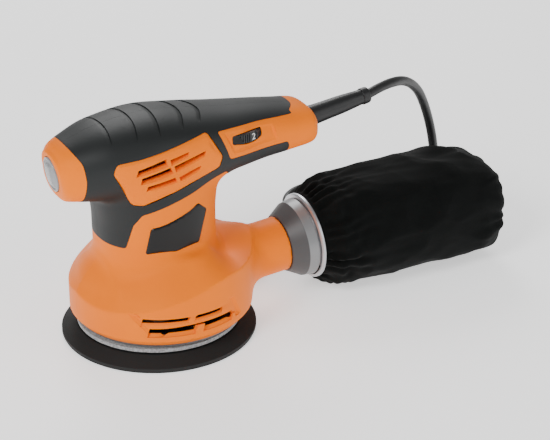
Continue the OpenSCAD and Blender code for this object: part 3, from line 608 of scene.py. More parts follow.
class Look:
    """A material made of nodes."""

    def __init__(self, name, **fixed):
        self.material = bpy.data.materials.new(name)
        self.material.use_nodes = True
        self.tree = self.material.node_tree
        self.surface = self.tree.nodes["Principled BSDF"]
        for port, value in fixed.items():
            self.surface.inputs[port.replace("_", " ")].default_value = value
        self.place = self.tree.nodes.new("ShaderNodeTexCoord").outputs["Object"]

    def node(self, kind, settings=(), **ports):
        """Adds a node: its settings first, then its values and links."""
        node = self.tree.nodes.new(kind)
        for key, value in dict(settings).items():
            setattr(node, key, value)
        for key, value in ports.items():
            port = node.inputs[key.replace("_", " ")]
            value = value.socket if isinstance(value, Value) else value
            if isinstance(value, bpy.types.NodeSocket):
                self.tree.links.new(value, port)
            else:
                port.default_value = value
        return node

    def stretched(self, scale, turn=(0, 0, 0)):
        node = self.node("ShaderNodeMapping", Vector=self.place, Scale=scale, Rotation=turn)
        return node.outputs[0]

    def noise(self, scale, detail=3.0, rough=0.55, vector=None):
        node = self.node("ShaderNodeTexNoise", Vector=vector or self.place, Scale=scale,
                         Detail=detail, Roughness=rough)
        return Value(self.tree, node.outputs[0])

    def edges(self):
        """Brighter on convex edges."""
        node = self.node("ShaderNodeNewGeometry")
        return Value(self.tree, node.outputs["Pointiness"]).step(0.52, 0.62)

    def mix(self, share, one, two):
        node = self.node("ShaderNodeMix", {"data_type": "RGBA"})
        for port, value in ((0, share), (6, one), (7, two)):
            value = value.socket if isinstance(value, Value) else value
            if isinstance(value, bpy.types.NodeSocket):
                self.tree.links.new(value, node.inputs[port])
            else:
                node.inputs[port].default_value = value
        return node.outputs[2]

    def wear(self, colour, roughness, height=None, depth=0.00005):
        """Connects the varying inputs and gives the material back."""
        self.tree.links.new(colour, self.surface.inputs["Base Color"])
        self.tree.links.new(roughness.socket, self.surface.inputs["Roughness"])
        if height is not None:
            bump = self.node("ShaderNodeBump", Height=height, Distance=depth, Strength=1.0)
            self.tree.links.new(bump.outputs[0], self.surface.inputs["Normal"])
        return self.material


def shade(colour, amount):
    return (*(min(1, c * amount) for c in colour[:3]), 1)


def plastic(name, colour, roughness, grain=0.00002, scale=2200, **fixed):
    """Moulded plastic: a fine grain, faint clouding, handling marks and paler edges."""
    look = Look(name, **fixed)
    cloud = look.noise(22, 4)
    grains = look.noise(scale, 2, 0.6)
    marks = look.noise(90, 5, 0.7, look.stretched((1, 1, 7), (0.4, 0.3, 0.8))).step(0.6, 0.72)
    body = look.mix(cloud.step(0.3, 0.7), shade(colour, 0.93), shade(colour, 1.05))
    body = look.mix(look.edges() * 0.3, body, shade(colour, 1.3))
    rough = cloud * 0.1 + grains * 0.06 + marks * 0.06 + (roughness - 0.1)
    return look.wear(body, rough, grains + marks * 0.25, grain)


def metal(name, colour, roughness, stretch=(1, 1, 30), rust=0.0):
    """Worked metal: fine lines, stains and worn edges."""
    look = Look(name, Metallic=1.0)
    lines = look.noise(600, 3, 0.6, look.stretched(stretch))
    stains = look.noise(60, 5, 0.6).step(0.45, 0.75)
    body = look.mix(stains * (0.4 + rust), (*colour, 1), shade(colour, 0.6))
    body = look.mix(look.edges() * 0.5, body, shade(colour, 1.25))
    return look.wear(body, lines * 0.15 + stains * 0.15 + (roughness - 0.08), lines, 0.00001)


def rough_stuff(name, colour, roughness, scale, depth, spread=0.35, sheen=0.0):
    """Foam, felt, cork and the like: speckled, with a coarse relief."""
    look = Look(name, Sheen_Weight=sheen)
    coarse = look.noise(scale, 5, 0.7)
    fine = look.noise(scale * 4, 3, 0.7)
    body = look.mix(coarse.step(0.35, 0.68), shade(colour, 1 - spread), shade(colour, 1 + spread))
    return look.wear(body, fine * 0.1 + (roughness - 0.05), coarse + fine * 0.5, depth)


def cloth(name, colour, roughness):
    """A tight weave with a short nap."""
    look = Look(name, Sheen_Weight=0.03, Sheen_Roughness=0.5, Specular_IOR_Level=0.12)
    threads = look.noise(1500, 2, 0.5, look.stretched((1, 1, 1.7)))
    nap_and_sheen = look.noise(130, 4, 0.65, look.stretched((1.0, 1.5, 1.5)))
    lint = look.noise(420, 2, 0.5).step(0.68, 0.8)
    # Paler and darker patches on the nap are painted sheen; the same noise also sets the nap's
    # roughness and relief
    body = look.mix(nap_and_sheen.step(0.3, 0.7), shade(colour, 0.65), shade(colour, 1.35))
    body = look.mix(lint * 0.15, body, shade(colour, 4))
    return look.wear(body, nap_and_sheen * 0.1 + (roughness - 0.05), threads + nap_and_sheen * 1.2, 0.00016)


def collar_plastic():
    """Dark grey on the cone and a paler, metallic finish on the band before the ring."""
    look = Look("collar")
    axes = look.node("ShaderNodeSeparateXYZ", Vector=look.place)
    x, z = Value(look.tree, axes.outputs[0]), Value(look.tree, axes.outputs[2])
    cosine, sine = math.cos(SPIGOT_PITCH), math.sin(SPIGOT_PITCH)
    along = x * cosine + z * sine
    start = (SPIGOT_ROOT.x * cosine + SPIGOT_ROOT.z * sine + BAND_FROM) * MM
    band = along.step(start, start + 0.0003)
    grain = look.noise(1600, 3, 0.6)
    cloud = look.noise(60, 4)
    body = look.mix(cloud, (0.05, 0.052, 0.054, 1), (0.065, 0.067, 0.07, 1))
    body = look.mix(band, body, (0.25, 0.255, 0.26, 1))
    look.tree.links.new((band * 0.6).socket, look.surface.inputs["Metallic"])
    return look.wear(body, grain * 0.12 + 0.42 + band * -0.06, grain, 0.00002)


def all_materials(paint):
    return {
        "housing": plastic("orange plastic", (*paint.housing_colour, 1), 0.5, 0.000012, 2600,
                           Specular_IOR_Level=0.2, Specular_Tint=(1, 0.5, 0.15, 1)),
        "grip": plastic("grip rubber", (*paint.grip_colour, 1), 0.56, 0.00003, 1700,
                        Specular_IOR_Level=0.4),
        "badge": plastic("badge", (0.004, 0.004, 0.004, 1), 0.34, 0.000004, 900,
                         Specular_IOR_Level=0.3),
        "boot": plastic("switch boot", (0.3, 0.31, 0.32, 1), 0.24, 0.000015, 1200,
                        Transmission_Weight=0.15, Coat_Weight=0.3),
        "black_plastic": plastic("black plastic", (0.012, 0.012, 0.013, 1), 0.42),
        "board": plastic("circuit board", (0.012, 0.1, 0.03, 1), 0.4),
        "steel": metal("steel", (0.6, 0.6, 0.6), 0.3),
        "lamination": metal("laminations", (0.3, 0.3, 0.31), 0.45, (1, 1, 60), 0.2),
        "copper": metal("copper wire", (0.75, 0.28, 0.12), 0.35, (1, 1, 60)),
        "brass": metal("brass", (0.75, 0.52, 0.2), 0.35),
        "cast": metal("cast metal", (0.45, 0.46, 0.47), 0.5, (1, 1, 1)),
        "fan_plastic": plastic("fan plastic", (0.22, 0.23, 0.24, 1), 0.45),
        "foam": rough_stuff("pad foam", (0.0028, 0.0034, 0.0033, 1), 0.72, 900, 0.0001),
        "hook": rough_stuff("hooks", (0.012, 0.012, 0.012, 1), 0.85, 1500, 0.0003),
        "felt": rough_stuff("felt", (0.36, 0.37, 0.38, 1), 0.9, 700, 0.0003, 0.5, 0.3),
        "ring_rubber": rough_stuff("ring rubber", (0.2, 0.205, 0.21, 1), 0.55, 400, 0.00005, 0.2),
        "carbon": rough_stuff("carbon", (0.02, 0.02, 0.02, 1), 0.6, 900, 0.00004),
        "blue_plastic": plastic("capacitor", (0.02, 0.08, 0.3, 1), 0.35),
        "collar": collar_plastic(),
        "bright_ring": metal("collar ring", (0.52, 0.53, 0.55), 0.36, (1, 1, 1)),
        "bag": cloth("bag cloth", (0.0016, 0.0022, 0.002, 1), 0.9),
        "hem": cloth("hem", (0.012, 0.012, 0.012, 1), 0.9),
        "cord": plastic("cord rubber", (0.005, 0.0055, 0.006, 1), 0.44, 0.00003, 700),
        "pin_metal": metal("pins", (0.72, 0.68, 0.55), 0.25),
        "digits": plastic("printed digits", (0.7, 0.7, 0.68, 1), 0.5),
    }


# ---- Copies set out by geometry nodes ----

def copies_tree():
    """A piece copied on the points of another mesh, turned to the direction stored there."""
    tree = bpy.data.node_groups.new("copies on points", "GeometryNodeTree")
    for name, way, kind in (("Geometry", "INPUT", "NodeSocketGeometry"),
                            ("Piece", "INPUT", "NodeSocketObject"),
                            ("Size", "INPUT", "NodeSocketFloat"),
                            ("Unevenness", "INPUT", "NodeSocketFloat"),
                            ("Material", "INPUT", "NodeSocketMaterial"),
                            ("Geometry", "OUTPUT", "NodeSocketGeometry")):
        tree.interface.new_socket(name, in_out=way, socket_type=kind)
    ins, out = tree.nodes.new("NodeGroupInput"), tree.nodes.new("NodeGroupOutput")
    piece = tree.nodes.new("GeometryNodeObjectInfo")
    turn = tree.nodes.new("GeometryNodeInputNamedAttribute")
    turn.data_type = "FLOAT_VECTOR"
    turn.inputs["Name"].default_value = "turn"
    spread = tree.nodes.new("FunctionNodeRandomValue")
    spread.data_type = "FLOAT"
    spread.inputs["Seed"].default_value = 7
    low, high, size = (tree.nodes.new("ShaderNodeMath") for _ in range(3))
    low.operation, high.operation, size.operation = "SUBTRACT", "ADD", "MULTIPLY"
    low.inputs[0].default_value = high.inputs[0].default_value = 1
    put = tree.nodes.new("GeometryNodeInstanceOnPoints")
    real = tree.nodes.new("GeometryNodeRealizeInstances")
    paint = tree.nodes.new("GeometryNodeSetMaterial")
    for source, given, target, taken in (
            (ins, "Piece", piece, "Object"), (ins, "Unevenness", low, 1),
            (ins, "Unevenness", high, 1), (low, 0, spread, 2), (high, 0, spread, 3),
            (spread, 1, size, 0), (ins, "Size", size, 1), (ins, "Geometry", put, "Points"),
            (piece, "Geometry", put, "Instance"), (turn, 0, put, "Rotation"),
            (size, 0, put, "Scale"), (put, 0, real, 0), (real, 0, paint, "Geometry"),
            (ins, "Material", paint, "Material"), (paint, 0, out, 0)):
        tree.links.new(source.outputs[given], target.inputs[taken])
    return tree


def copies(piece, spots, material, unevenness=0.0):
    """A mesh of one piece repeated at spots of (place in millimetres, Euler turn)."""
    tree = bpy.data.node_groups.get("copies on points") or copies_tree()
    source = in_scene("source", piece)
    points = bpy.data.meshes.new("spots")
    points.from_pydata([tuple(Vector(p) * MM) for p, _ in spots], [], [])
    turn = points.attributes.new("turn", "FLOAT_VECTOR", "POINT")
    turn.data.foreach_set("vector", [c for _, t in spots for c in t])
    holder = in_scene("holder", points)
    change = holder.modifiers.new("copies", "NODES")
    change.node_group = tree
    values = {"Piece": source, "Size": 1.0, "Unevenness": unevenness, "Material": material}
    for item in tree.interface.items_tree:
        if item.in_out == "INPUT" and item.name in values:
            change[item.identifier] = values[item.name]
    graph = bpy.context.evaluated_depsgraph_get()
    mesh = bpy.data.meshes.new_from_object(holder.evaluated_get(graph))
    for obj in (holder, source):
        bpy.data.objects.remove(obj)
    return mesh


# ---- Housing and grips ----

def groove(crown, side, reach):
    """The cutter for one groove over the grip: a gentle ramp on its front side and a crisp step
    behind it, fading out at both ends."""
    rings = []
    for angle in np.radians(np.linspace(-reach, reach, 61)):
        share = abs(angle) / math.radians(reach)
        fade = 1 - ease((share - 0.72) / 0.28)
        x = crown + (side - crown) * share ** 2
        ring = []
        for along, height in ((-GROOVE_RAMP, 0.4), (0, 0.4 - (0.4 + GROOVE_DEPTH) * fade),
                              (0.2, 0.4)):
            radius = head_radius(x + along, np.sin(angle), np.cos(angle)) + height
            middle = smooth_between(x + along, HEAD_X, HEAD_MID)
            ring.append((x + along, radius * math.sin(angle), middle + radius * math.cos(angle)))
        rings.append(ring)
    return lofted(rings)


def slot_cutter(outline, sign, deep=12, flare=0.9, drop=(-0.5, -0.7)):
    """A slot through one side of the housing, with its lower lip sloping outwards."""
    middle = sum((Vector(p) for p in outline), Vector((0, 0))) / len(outline)
    face = float(side_depth(np.array(middle.x), np.array(middle.y)))
    inner = grown(outline, 0.2)
    outer = [p + Vector(drop) for p in grown(outline, flare)]
    levels = ((outer, OUTSIDE_Y), (outer, face + 1.6), (inner, face - 1.4), (inner, deep))
    return lofted([[(p[0], sign * y, p[1]) for p in ring] for ring, y in levels])


def long_slot(first, last, low, sign, parts=20):
    """A slot that follows the skirt; its lower lip slopes outwards."""
    radii = ((SKIRT_R + 2, 1.9), (SKIRT_R - 1, 1.8), (SKIRT_R - 2.5, 0), (SKIRT_R - 7, 0))
    points = []
    for radius, drop in radii:
        for share in np.linspace(0, 1, parts + 1):
            for height, lean in ((low - drop, 0), (low + 3.5, 1.6)):
                a = math.radians(first + (last - first) * share + lean)
                points.append((SKIRT_X + radius * math.sin(a), sign * radius * math.cos(a), height))
    row = 2 * (parts + 1)
    faces = []
    for end in (0, len(radii) - 1):
        faces += [(end * row + 2 * k, end * row + 2 * k + 2, end * row + 2 * k + 3,
                   end * row + 2 * k + 1) for k in range(parts)]
    for j in range(len(radii) - 1):
        for k in range(parts):
            for side in (0, 1):
                at = j * row + 2 * k + side
                faces.append((at, at + 2, at + 2 + row, at + row))
        for k in (0, parts):
            at = j * row + 2 * k
            faces.append((at, at + 1, at + 1 + row, at + row))
    return mesh_of(points, faces, outward=True)


def screw_well(x, z):
    return lofted([[(x + SCREW_WELL_R * math.cos(a), y, z + SCREW_WELL_R * math.sin(a))
                    for a in full_turn(32)] for y in (6, 70)])


def grip_plan(gap=0.0):
    """The grip's limits from above: its rear end curves in on the near side and runs on along
    the far side."""
    rear = [(GRIP_END - 0.045 * max(min(y, 0), -11.5) ** 2 + 0.08 * max(y, 0) - gap, y)
            for y in np.linspace(-30, 30, 41)]
    return prism([(-90, -80), *rear, (-90, 80)], 40, 220, "Z")


def side_prisms(outline):
    """Cutters along an outline through both sides of the housing."""
    return [("DIFFERENCE", prism(outline, *reach)) for reach in SIDE_REACH]


def build_housing(settings, materials):
    step = settings.step
    low, high = (-74, -64, 8), (114, 64, 158)
    outer = skin(housing_form, low, high, step)
    under = skin(lambda x, y, z: housing_form(x, y, z) + GRIP_T, low, high, step)
    inner = skin(lambda x, y, z: np.maximum(inner_form(x, y, z), 10.5 - z), low, high, 2.2)
    raised = skin(lambda x, y, z: housing_form(x, y, z) - 0.12, low, high, step)

    bed = boolean(prism(rounded(GRIP, 1.6), -90, 90), ("INTERSECT", grip_plan()),
                  ("DIFFERENCE", under))
    bed = boolean(bed, *side_prisms(rounded(grown(PANEL, -0.5), 2)))
    grip = boolean(raised, ("INTERSECT", prism(rounded(grown(GRIP, -GRIP_GAP), 1.6), -90, 90)),
                   ("INTERSECT", grip_plan(GRIP_GAP)), ("DIFFERENCE", under),
                   *side_prisms(rounded(grown(PANEL, 0.3), 2.2)),
                   *[("DIFFERENCE", groove(*g)) for g in GROOVES])

    shell = boolean(outer, ("DIFFERENCE", bed))
    added, cuts = [], []
    for sign in SIDES.values():
        proud = plate(rounded(PANEL, 2), on_side(sign),
                      lambda d: settings.panel_rise * np.clip(d / 1.3, 0, 1) - 0.05,
                      lambda d: 0 * d - 2.2, rim=(0.65, 1.3, 2.2))
        added.append(("UNION", proud))
        cuts += [slot_cutter(s, sign) for s in SIDE_SLOTS]
        for s in SKIRT_SLOTS:
            cuts.append(long_slot(*s, sign))
        cuts.append(plate(rounded(SKIRT_FIELD, 1.6), on_skirt(sign), lambda d: 0 * d + 1.5,
                          lambda d: 0.02 - 1.5 * np.clip(d / 2, 0, 1), rim=(1, 2, 3),
                          spacing=3))
    cuts.append(plate(rounded(TAIL_PANEL, 1.2), on_side(-1), lambda d: 0 * d + 1.5,
                      lambda d: 0.02 - 0.95 * np.clip(d / 1.5, 0, 1), rim=(0.75, 1.5)))
    cuts.append(slot_cutter(rounded(DIAL_WINDOW, 1.2, 3), -1, 4, 0.3, (0, 0)))
    bore = turned([(0, 35.2), (16.2, 35.2), (16.2, 85), (0, 85)], spigot_axis(), 64)
    cuts.append(bore)
    cuts += [screw_well(*s) for s in SCREWS]
    nose, (half_u, half_v) = nose_axis(), NOSE_RECESS
    cuts.append(lofted([[tuple(nose @ Vector((half_u * math.cos(a), half_v * math.sin(a), h)))
                         for a in full_turn(64)] for h in (-6, 6)]))
    cuts.append(lofted([[(w, 7.4 * math.cos(a), RELIEF_Z + 7.4 * math.sin(a))
                         for a in full_turn(48)] for w in (98, 118)]))
    shell = boolean(shell, *added, ("DIFFERENCE", inner), *[("DIFFERENCE", c) for c in cuts])
    for s in SCREWS:
        grip = boolean(grip, ("DIFFERENCE", screw_well(*s)))
    for side, sign in SIDES.items():
        half = block((-120, min(0, sign * 90) + 0.05 * (sign > 0), -5),
                     (160, max(0, sign * 90) - 0.05 * (sign < 0), 200))
        place_mesh(f"housing_shell_{side}", boolean(shell, ("INTERSECT", half)),
                   "root", materials["housing"], [f"housing_{side}"], 28)
        place_mesh(f"soft_grip_{side}", boolean(grip, ("INTERSECT", half)), "root",
                   materials["grip"], [f"grip_{side}"], 28)


def build_badges(materials):
    for side, sign in SIDES.items():
        mesh = plate(rounded(BADGE, 1.5), on_side(sign), lambda d: 0.05 + 0.75 * ease(d / 0.7),
                     lambda d: 0 * d - 0.6, rim=(0.25, 0.5, 0.75), spacing=1.6)
        place_mesh(f"badge_plate_{side}", mesh, "root", materials["badge"],
                   [f"badge_{side}"], 50)


# ---- Nose, dial, screws and strain relief ----

def build_boot(materials):
    """The clear cover over the switch: an oval dome with the rocker showing through it."""
    nose, (half_u, half_v) = nose_axis(), COVER_HALF
    rings = []
    for share, height in ((1.0, -3.4), (1.0, 0.3), (0.985, 0.75), (0.95, 1.0), (0.9, 1.0),
                          (0.87, 0.55), (0.84, 0.3), (0.8, 0.45), (0.7, 1.0), (0.6, 1.3),
                          (0.5, 1.5), (0.4, 1.6), (0.3, 1.7), (0.2, 1.75), (0.1, 1.8),
                          (0.03, 1.8)):
        ring = []
        for a in full_turn(96):
            u, v = half_u * share * math.cos(a), half_v * share * math.sin(a)
            bar = ease((4.6 - abs(v)) / 0.9) * ease((8.2 - abs(u)) / 0.9) * (share < 0.86)
            lean = 0.5 + 0.5 * u / 9
            ring.append(tuple(nose @ Vector((u, v, height + bar * (0.35 + 0.65 * lean)))))
        rings.append(ring)
    place_mesh("switch_cover", lofted(rings), "root", materials["boot"],
               ["switch_boot"], 40)


def digit_mesh(text, size, depth):
    """A digit as a mesh, in millimetres, standing in the XZ plane."""
    curve = bpy.data.curves.new("digit", "FONT")
    curve.body = text
    curve.size = size
    curve.align_x = "CENTER"
    curve.extrude = depth
    obj = in_scene("digit", curve)
    graph = bpy.context.evaluated_depsgraph_get()
    mesh = bpy.data.meshes.new_from_object(obj.evaluated_get(graph))
    bpy.data.objects.remove(obj)
    mesh.transform(Matrix.Rotation(math.pi / 2, 4, "X"))
    return mesh


def build_dial(materials):
    low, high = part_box("speed_dial")
    centre = [(a + b) / 2 / MM for a, b in zip(low, high)]
    radius = (high[0] - low[0]) / 2 / MM - 0.7
    top, bottom = high[2] / MM - 1.4, low[2] / MM
    core = radius - 0.8
    wheel = turned(softened([(3, bottom), (core, bottom), (core, top), (3, top)], 0.6),
                        Matrix.Translation((centre[0], centre[1], 0)))
    rib = lofted([[(-0.5, 0, h), (0.5, 0, h), (0.3, -1.2, h), (-0.3, -1.2, h)]
                  for h in (bottom + 0.5, top - 0.5)])
    spots = []
    for k in range(60):
        angle = 2 * math.pi * k / 60 + DIGITS_FROM
        if k % 10 in (0, 1, 9):
            continue
        spots.append(((centre[0] + (core - 0.35) * math.sin(angle),
                       centre[1] - (core - 0.35) * math.cos(angle), 0), (0, 0, angle)))
    ribs = copies(rib, spots, materials["black_plastic"])
    place_mesh("dial_wheel", joined(wheel, ribs), "dial",
               materials["black_plastic"], ["speed_dial"], 30)
    gap = turned([(0.01, bottom - 5), (radius + 0.3, bottom - 5), (radius + 0.3, top + 5),
                       (0.01, top + 5)], Matrix.Translation((centre[0], centre[1], 0)))
    pocket = plate(grown(rounded(DIAL_WINDOW, 1.2, 3), 0.05), on_side(-1), lambda d: 0 * d - 1.3,
                   lambda d: 0 * d - 3.4)
    place_mesh("dial_pocket", boolean(pocket, ("DIFFERENCE", gap)), "root",
               materials["badge"])
    digits = []
    for k in range(6):
        angle = DIGITS_FROM + math.radians(60 * k)
        mesh = digit_mesh(str(k + 1), 6, 0.3)
        place = (Matrix.Translation((centre[0], centre[1], 0)) @ Matrix.Rotation(angle, 4, "Z")
                 @ Matrix.Translation((0, -core - 0.05, (top + bottom) / 2 - 1.9)))
        mesh.transform(place)
        digits.append(mesh)
    numbers = joined(*digits)
    numbers.transform(Matrix.Scale(MM, 4))
    place_mesh("dial_digits", numbers, "dial", materials["digits"], (), 30)


def build_screws(materials):
    """Pan-head screws with a six-pointed socket, in the wells on the far side."""
    pan = turned([(0.01, 0), (3.5, 0), (3.5, 1.2), (3.1, 2), (2.2, 2.5), (0.01, 2.6)], steps=48)
    star = []
    for a in full_turn(48):
        radius = 1.5 + 0.32 * math.cos(6 * a)
        star.append((radius * math.cos(a), radius * math.sin(a)))
    pan = boolean(pan, ("DIFFERENCE", prism(star, 1, 4, "Z")))
    shank = turned([(0.01, -15), (1.6, -15), (1.75, -14), (1.75, 0.2), (0.01, 0.2)], steps=24)
    screw = joined(pan, shank)
    spots = [((x, 6, z), (-math.pi / 2, 0, 0)) for x, z in SCREWS]
    place_mesh("case_screws", copies(screw, spots, materials["steel"]), "root",
               materials["steel"], ["housing_screws"], 30)


def build_relief(materials):
    """The bend protector: a smooth tapered tube with a short thicker lip at its tip."""
    profile = softened([(3.4, -11), (7.8, -11), (7.8, -3), (7.1, -1.5), (7, 1), (6.9, 3)], 0.5)
    profile += [(6.9 - 1.9 * ease(h / 44) - 0.25 * math.sin(h / 6), h) for h in range(5, 40, 2)]
    profile += softened([(5.1, 41), (5.5, 41.4), (5.4, 45.4), (4.8, 46.4), (3.4, 46.4)], 0.4)
    place_mesh("bend_protector", turned(profile, relief_axis(), 64), "root",
               materials["cord"], ["cord_sleeve"], 40)


# ---- Lead ----

def hank_points():
    """The hank's turns, counter-clockwise from above, each straight run carrying the lead to the
    next track."""
    x0, y0 = HANK_MID
    half = HANK_RUN / 2
    points = []
    for i, (radius, layer) in enumerate(HANK_TRACKS):
        z = HANK_Z + CORD_D * layer
        for share in np.linspace(0, 1, 11):
            a = math.pi / 2 + math.pi * share
            points.append((x0 - half + radius * math.cos(a), y0 + radius * math.sin(a), z))
        if i == len(HANK_TRACKS) - 1:
            break
        nxt, rise = HANK_TRACKS[i + 1]
        for share in np.linspace(0, 1, 11):
            a = -math.pi / 2 + math.pi * share
            points.append((x0 + half + radius * math.cos(a), y0 + radius * math.sin(a), z))
        z2 = HANK_Z + CORD_D * rise
        for share in (0.33, 0.67):
            s = ease(share)
            points.append((x0 + half - HANK_RUN * share, y0 + radius + (nxt - radius) * s,
                           z + (z2 - z) * s))
    return points


def lead_points():
    """The whole free length, ending in the plug."""
    hank = hank_points()
    x0, y0 = HANK_MID
    end = x0 - HANK_RUN / 2
    last = max(i for i, p in enumerate(hank) if p[0] < end - 25 and abs(p[1] - y0) < 6)
    return LEAD + hank[:last + 1] + TAIL_LEAD[1:]


def build_lead(settings, materials):
    points = [Vector(p) * MM for p in lead_points()]
    curve = bpy.data.curves.new("mains_lead", "CURVE")
    curve.dimensions = "3D"
    curve.bevel_depth = settings.diameter / 2
    curve.bevel_resolution = 6
    curve.resolution_u = 5
    curve.use_fill_caps = True
    spline = curve.splines.new("BEZIER")
    spline.bezier_points.add(len(points) - 1)
    length = 0
    tangents = [(points[min(i + 1, len(points) - 1)] - points[max(i - 1, 0)]).normalized()
                for i in range(len(points))]
    for i, (knot, p) in enumerate(zip(spline.bezier_points, points)):
        back = (p - points[i - 1]).length if i else 0
        ahead = (points[i + 1] - p).length if i < len(points) - 1 else 0
        knot.co = p
        knot.handle_left_type = knot.handle_right_type = "FREE"
        knot.handle_left = p - tangents[i] * back / 3
        knot.handle_right = p + tangents[i] * ahead / 3
    for a, b in zip(spline.bezier_points, spline.bezier_points[1:]):
        last = a.co
        for t in np.linspace(0.1, 1, 10):
            s = 1 - t
            here = (a.co * s ** 3 + a.handle_right * 3 * s * s * t + b.handle_left * 3 * s * t * t
                    + b.co * t ** 3)
            length += (here - last).length
            last = here
    lead = in_scene("mains_lead", curve)
    curve.materials.append(materials["cord"])
    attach(lead, "root")
    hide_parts("cord_lead", "cord_hank")


# ---- Bag ----

def bag_point(along, angle, pleats, folds):
    """A point of the bag's cloth: the plain form, then pleats at the mouth and soft folds."""
    half_w = smooth_between(along, BAG_X, BAG_HALF_W)
    half_h = smooth_between(along, BAG_X, BAG_HALF_H)
    power = smooth_between(along, BAG_X, BAG_POWER)
    middle = smooth_between(along, BAG_X, BAG_MID)
    c, s = math.cos(angle), math.sin(angle)
    radius = ((abs(s) / half_w) ** power + (abs(c) / half_h) ** power) ** (-1 / power)
    start, end = BAG_X[0], BAG_X[-1]
    # Gathers at the mouth
    wander = 1.4 * noise.noise(Vector((s * 1.6, c * 1.6, along / 40)))
    gather = math.exp(-max(along - start - 4, 0) / 15) * ease((along - start) / 4)
    uneven = noise.noise(Vector((s * 3, c * 3, 4)))
    radius += gather * (0.6 + 2.1 * math.cos(pleats * angle + 5 * wander) * (0.75 + 1.1 * uneven))
    # A rucked band behind them
    ruck = math.exp(-((along - start - 16) / 11) ** 2)
    radius += ruck * 2.2 * noise.noise(Vector((s * 5, c * 5, along / 7)))
    # Soft folds along the bag, across it and small ones between
    hold = ease((along - start) / 16) * (0.5 + 0.5 * ease((end - along) / 20))
    folds_at = Vector((s * 1.3, c * 1.3, along / 52))
    ridge = 1 - 2.4 * abs(noise.noise(folds_at + Vector((3, 8, 1))))
    slanted = Vector((s * 1.1 + along / 60, c * 1.4, along / 34 - s))
    cross = 1 - 2.4 * abs(noise.noise(slanted + Vector((13, 2, 6))))
    fine = noise.noise(Vector((s * 4.5, c * 4.5, along / 14)))
    radius += folds * hold * (ridge * 1.5 + cross * 1.3 + fine * 0.5 - 2.0)
    # Puckers at the closed end
    pucker = math.exp(-max(end - 6 - along, 0) / 12)
    radius += folds * pucker * (1.1 * math.cos(7 * angle + 9 * wander) - 0.8)
    return Vector((along, radius * s, middle + radius * c))


def build_bag(settings, materials):
    across, around = ((170, 180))
    ease_in = [0.5 - 0.5 * math.cos(math.pi * t) for t in np.linspace(0, 1, across)]
    start, end = BAG_X[0], BAG_X[-1]
    rings = []
    for share in ease_in:
        along = start + (end - start) * share
        rings.append([bag_point(along, 2 * math.pi * k / around, settings.pleats, settings.folds)
                      for k in range(around)])
    closing = []
    for share in (0.9, 0.72, 0.5, 0.25, 0.06):
        centre = sum(rings[-1], Vector()) / around
        bulge = 1.2 * math.sqrt(1 - share ** 2)
        closing.append([centre + (p - centre) * share + Vector((bulge, 0, 0))
                        + Vector((0.7, 0, 0)) * noise.noise(p / 9) for p in rings[-1]])
    middle = BAG_MID[0]
    throat = [[Vector((start - out, p.y * share, middle + (p.z - middle) * share))
               for p in rings[0]] for out, share in ((2, 0.9), (1.9, 0.97))]
    mesh = lofted([*throat, *rings, *closing])
    bag = place_mesh("dust_bag", mesh, "bag", materials["bag"], ["bag_cloth"], 60)


# ---- The rest of the CAD pieces ----

def finish_nodes(materials):
    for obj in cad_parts.values():
        for slot in obj.material_slots:
            if slot.material and slot.material.name in materials:
                slot.material = materials[slot.material.name]


# ---- Stage ----

# Half the floor's width and the point that the lamps look at, in metres
FLOOR_HALF = 6
LAMPS_AIM = (0.06, 0, 0.07)


def build_stage(settings):
    mesh = bpy.data.meshes.new("floor")
    mesh.from_pydata([(u * FLOOR_HALF, v * FLOOR_HALF, 0)
                      for u, v in ((-1, -1), (1, -1), (1, 1), (-1, 1))], [], [(0, 1, 2, 3)])
    floor = in_scene("floor", mesh)
    look = Look("studio floor", Specular_IOR_Level=0.05, Emission_Color=(1, 1, 1, 1),
                Emission_Strength=settings.floor_glow)
    drift = look.noise(3, 2)
    white = settings.floor_shade
    floor.data.materials.append(look.wear(
        look.mix(drift, (white, white, white, 1), (white * 1.02, white * 1.02, white * 1.02, 1)),
        drift * 0.05 + 0.85))
    floor.location.z = -0.0003
    world = bpy.data.worlds.new("studio")
    world.use_nodes = True
    world.node_tree.nodes["Background"].inputs["Color"].default_value = (1, 1, 1, 1)
    world.node_tree.nodes["Background"].inputs["Strength"].default_value = settings.sky
    bpy.context.scene.world = world
    for name, place, size, power in (("key", (-1.2, -0.7, 1.2), 0.7, settings.key_power),
                                     ("fill", (0.9, -1.3, 0.7), 1.2, settings.key_power * 0.3),
                                     ("rim", (0.5, 1.3, 1.1), 0.8, settings.key_power * 0.6)):
        light = bpy.data.lights.new(name, "AREA")
        light.shape = "DISK"
        light.size = size
        light.energy = power
        lamp = in_scene(name, light)
        lamp.location = place
        aim = Vector(LAMPS_AIM) - Vector(place)
        lamp.rotation_euler = aim.to_track_quat("-Z", "Y").to_euler()


def build_camera(settings):
    yaw, tilt, roll = settings.yaw, settings.tilt, settings.roll
    flat = Vector((math.cos(yaw), -math.sin(yaw), 0))
    ahead = Vector((math.sin(yaw), math.cos(yaw), 0))
    up = Vector((0, 0, 1))
    forward = ahead * math.cos(tilt) - up * math.sin(tilt)
    over = ahead * math.sin(tilt) + up * math.cos(tilt)
    right = flat * math.cos(roll) - over * math.sin(roll)
    top = flat * math.sin(roll) + over * math.cos(roll)
    camera = bpy.data.cameras.new("camera")
    camera.lens = settings.lens
    camera.clip_start = 0.05
    obj = in_scene("camera", camera)
    obj.matrix_world = Matrix((
        (right.x, top.x, -forward.x, settings.place[0]),
        (right.y, top.y, -forward.y, settings.place[1]),
        (right.z, top.z, -forward.z, settings.place[2]),
        (0, 0, 0, 1)))
    bpy.context.scene.camera = obj


# ---- Add-on ----

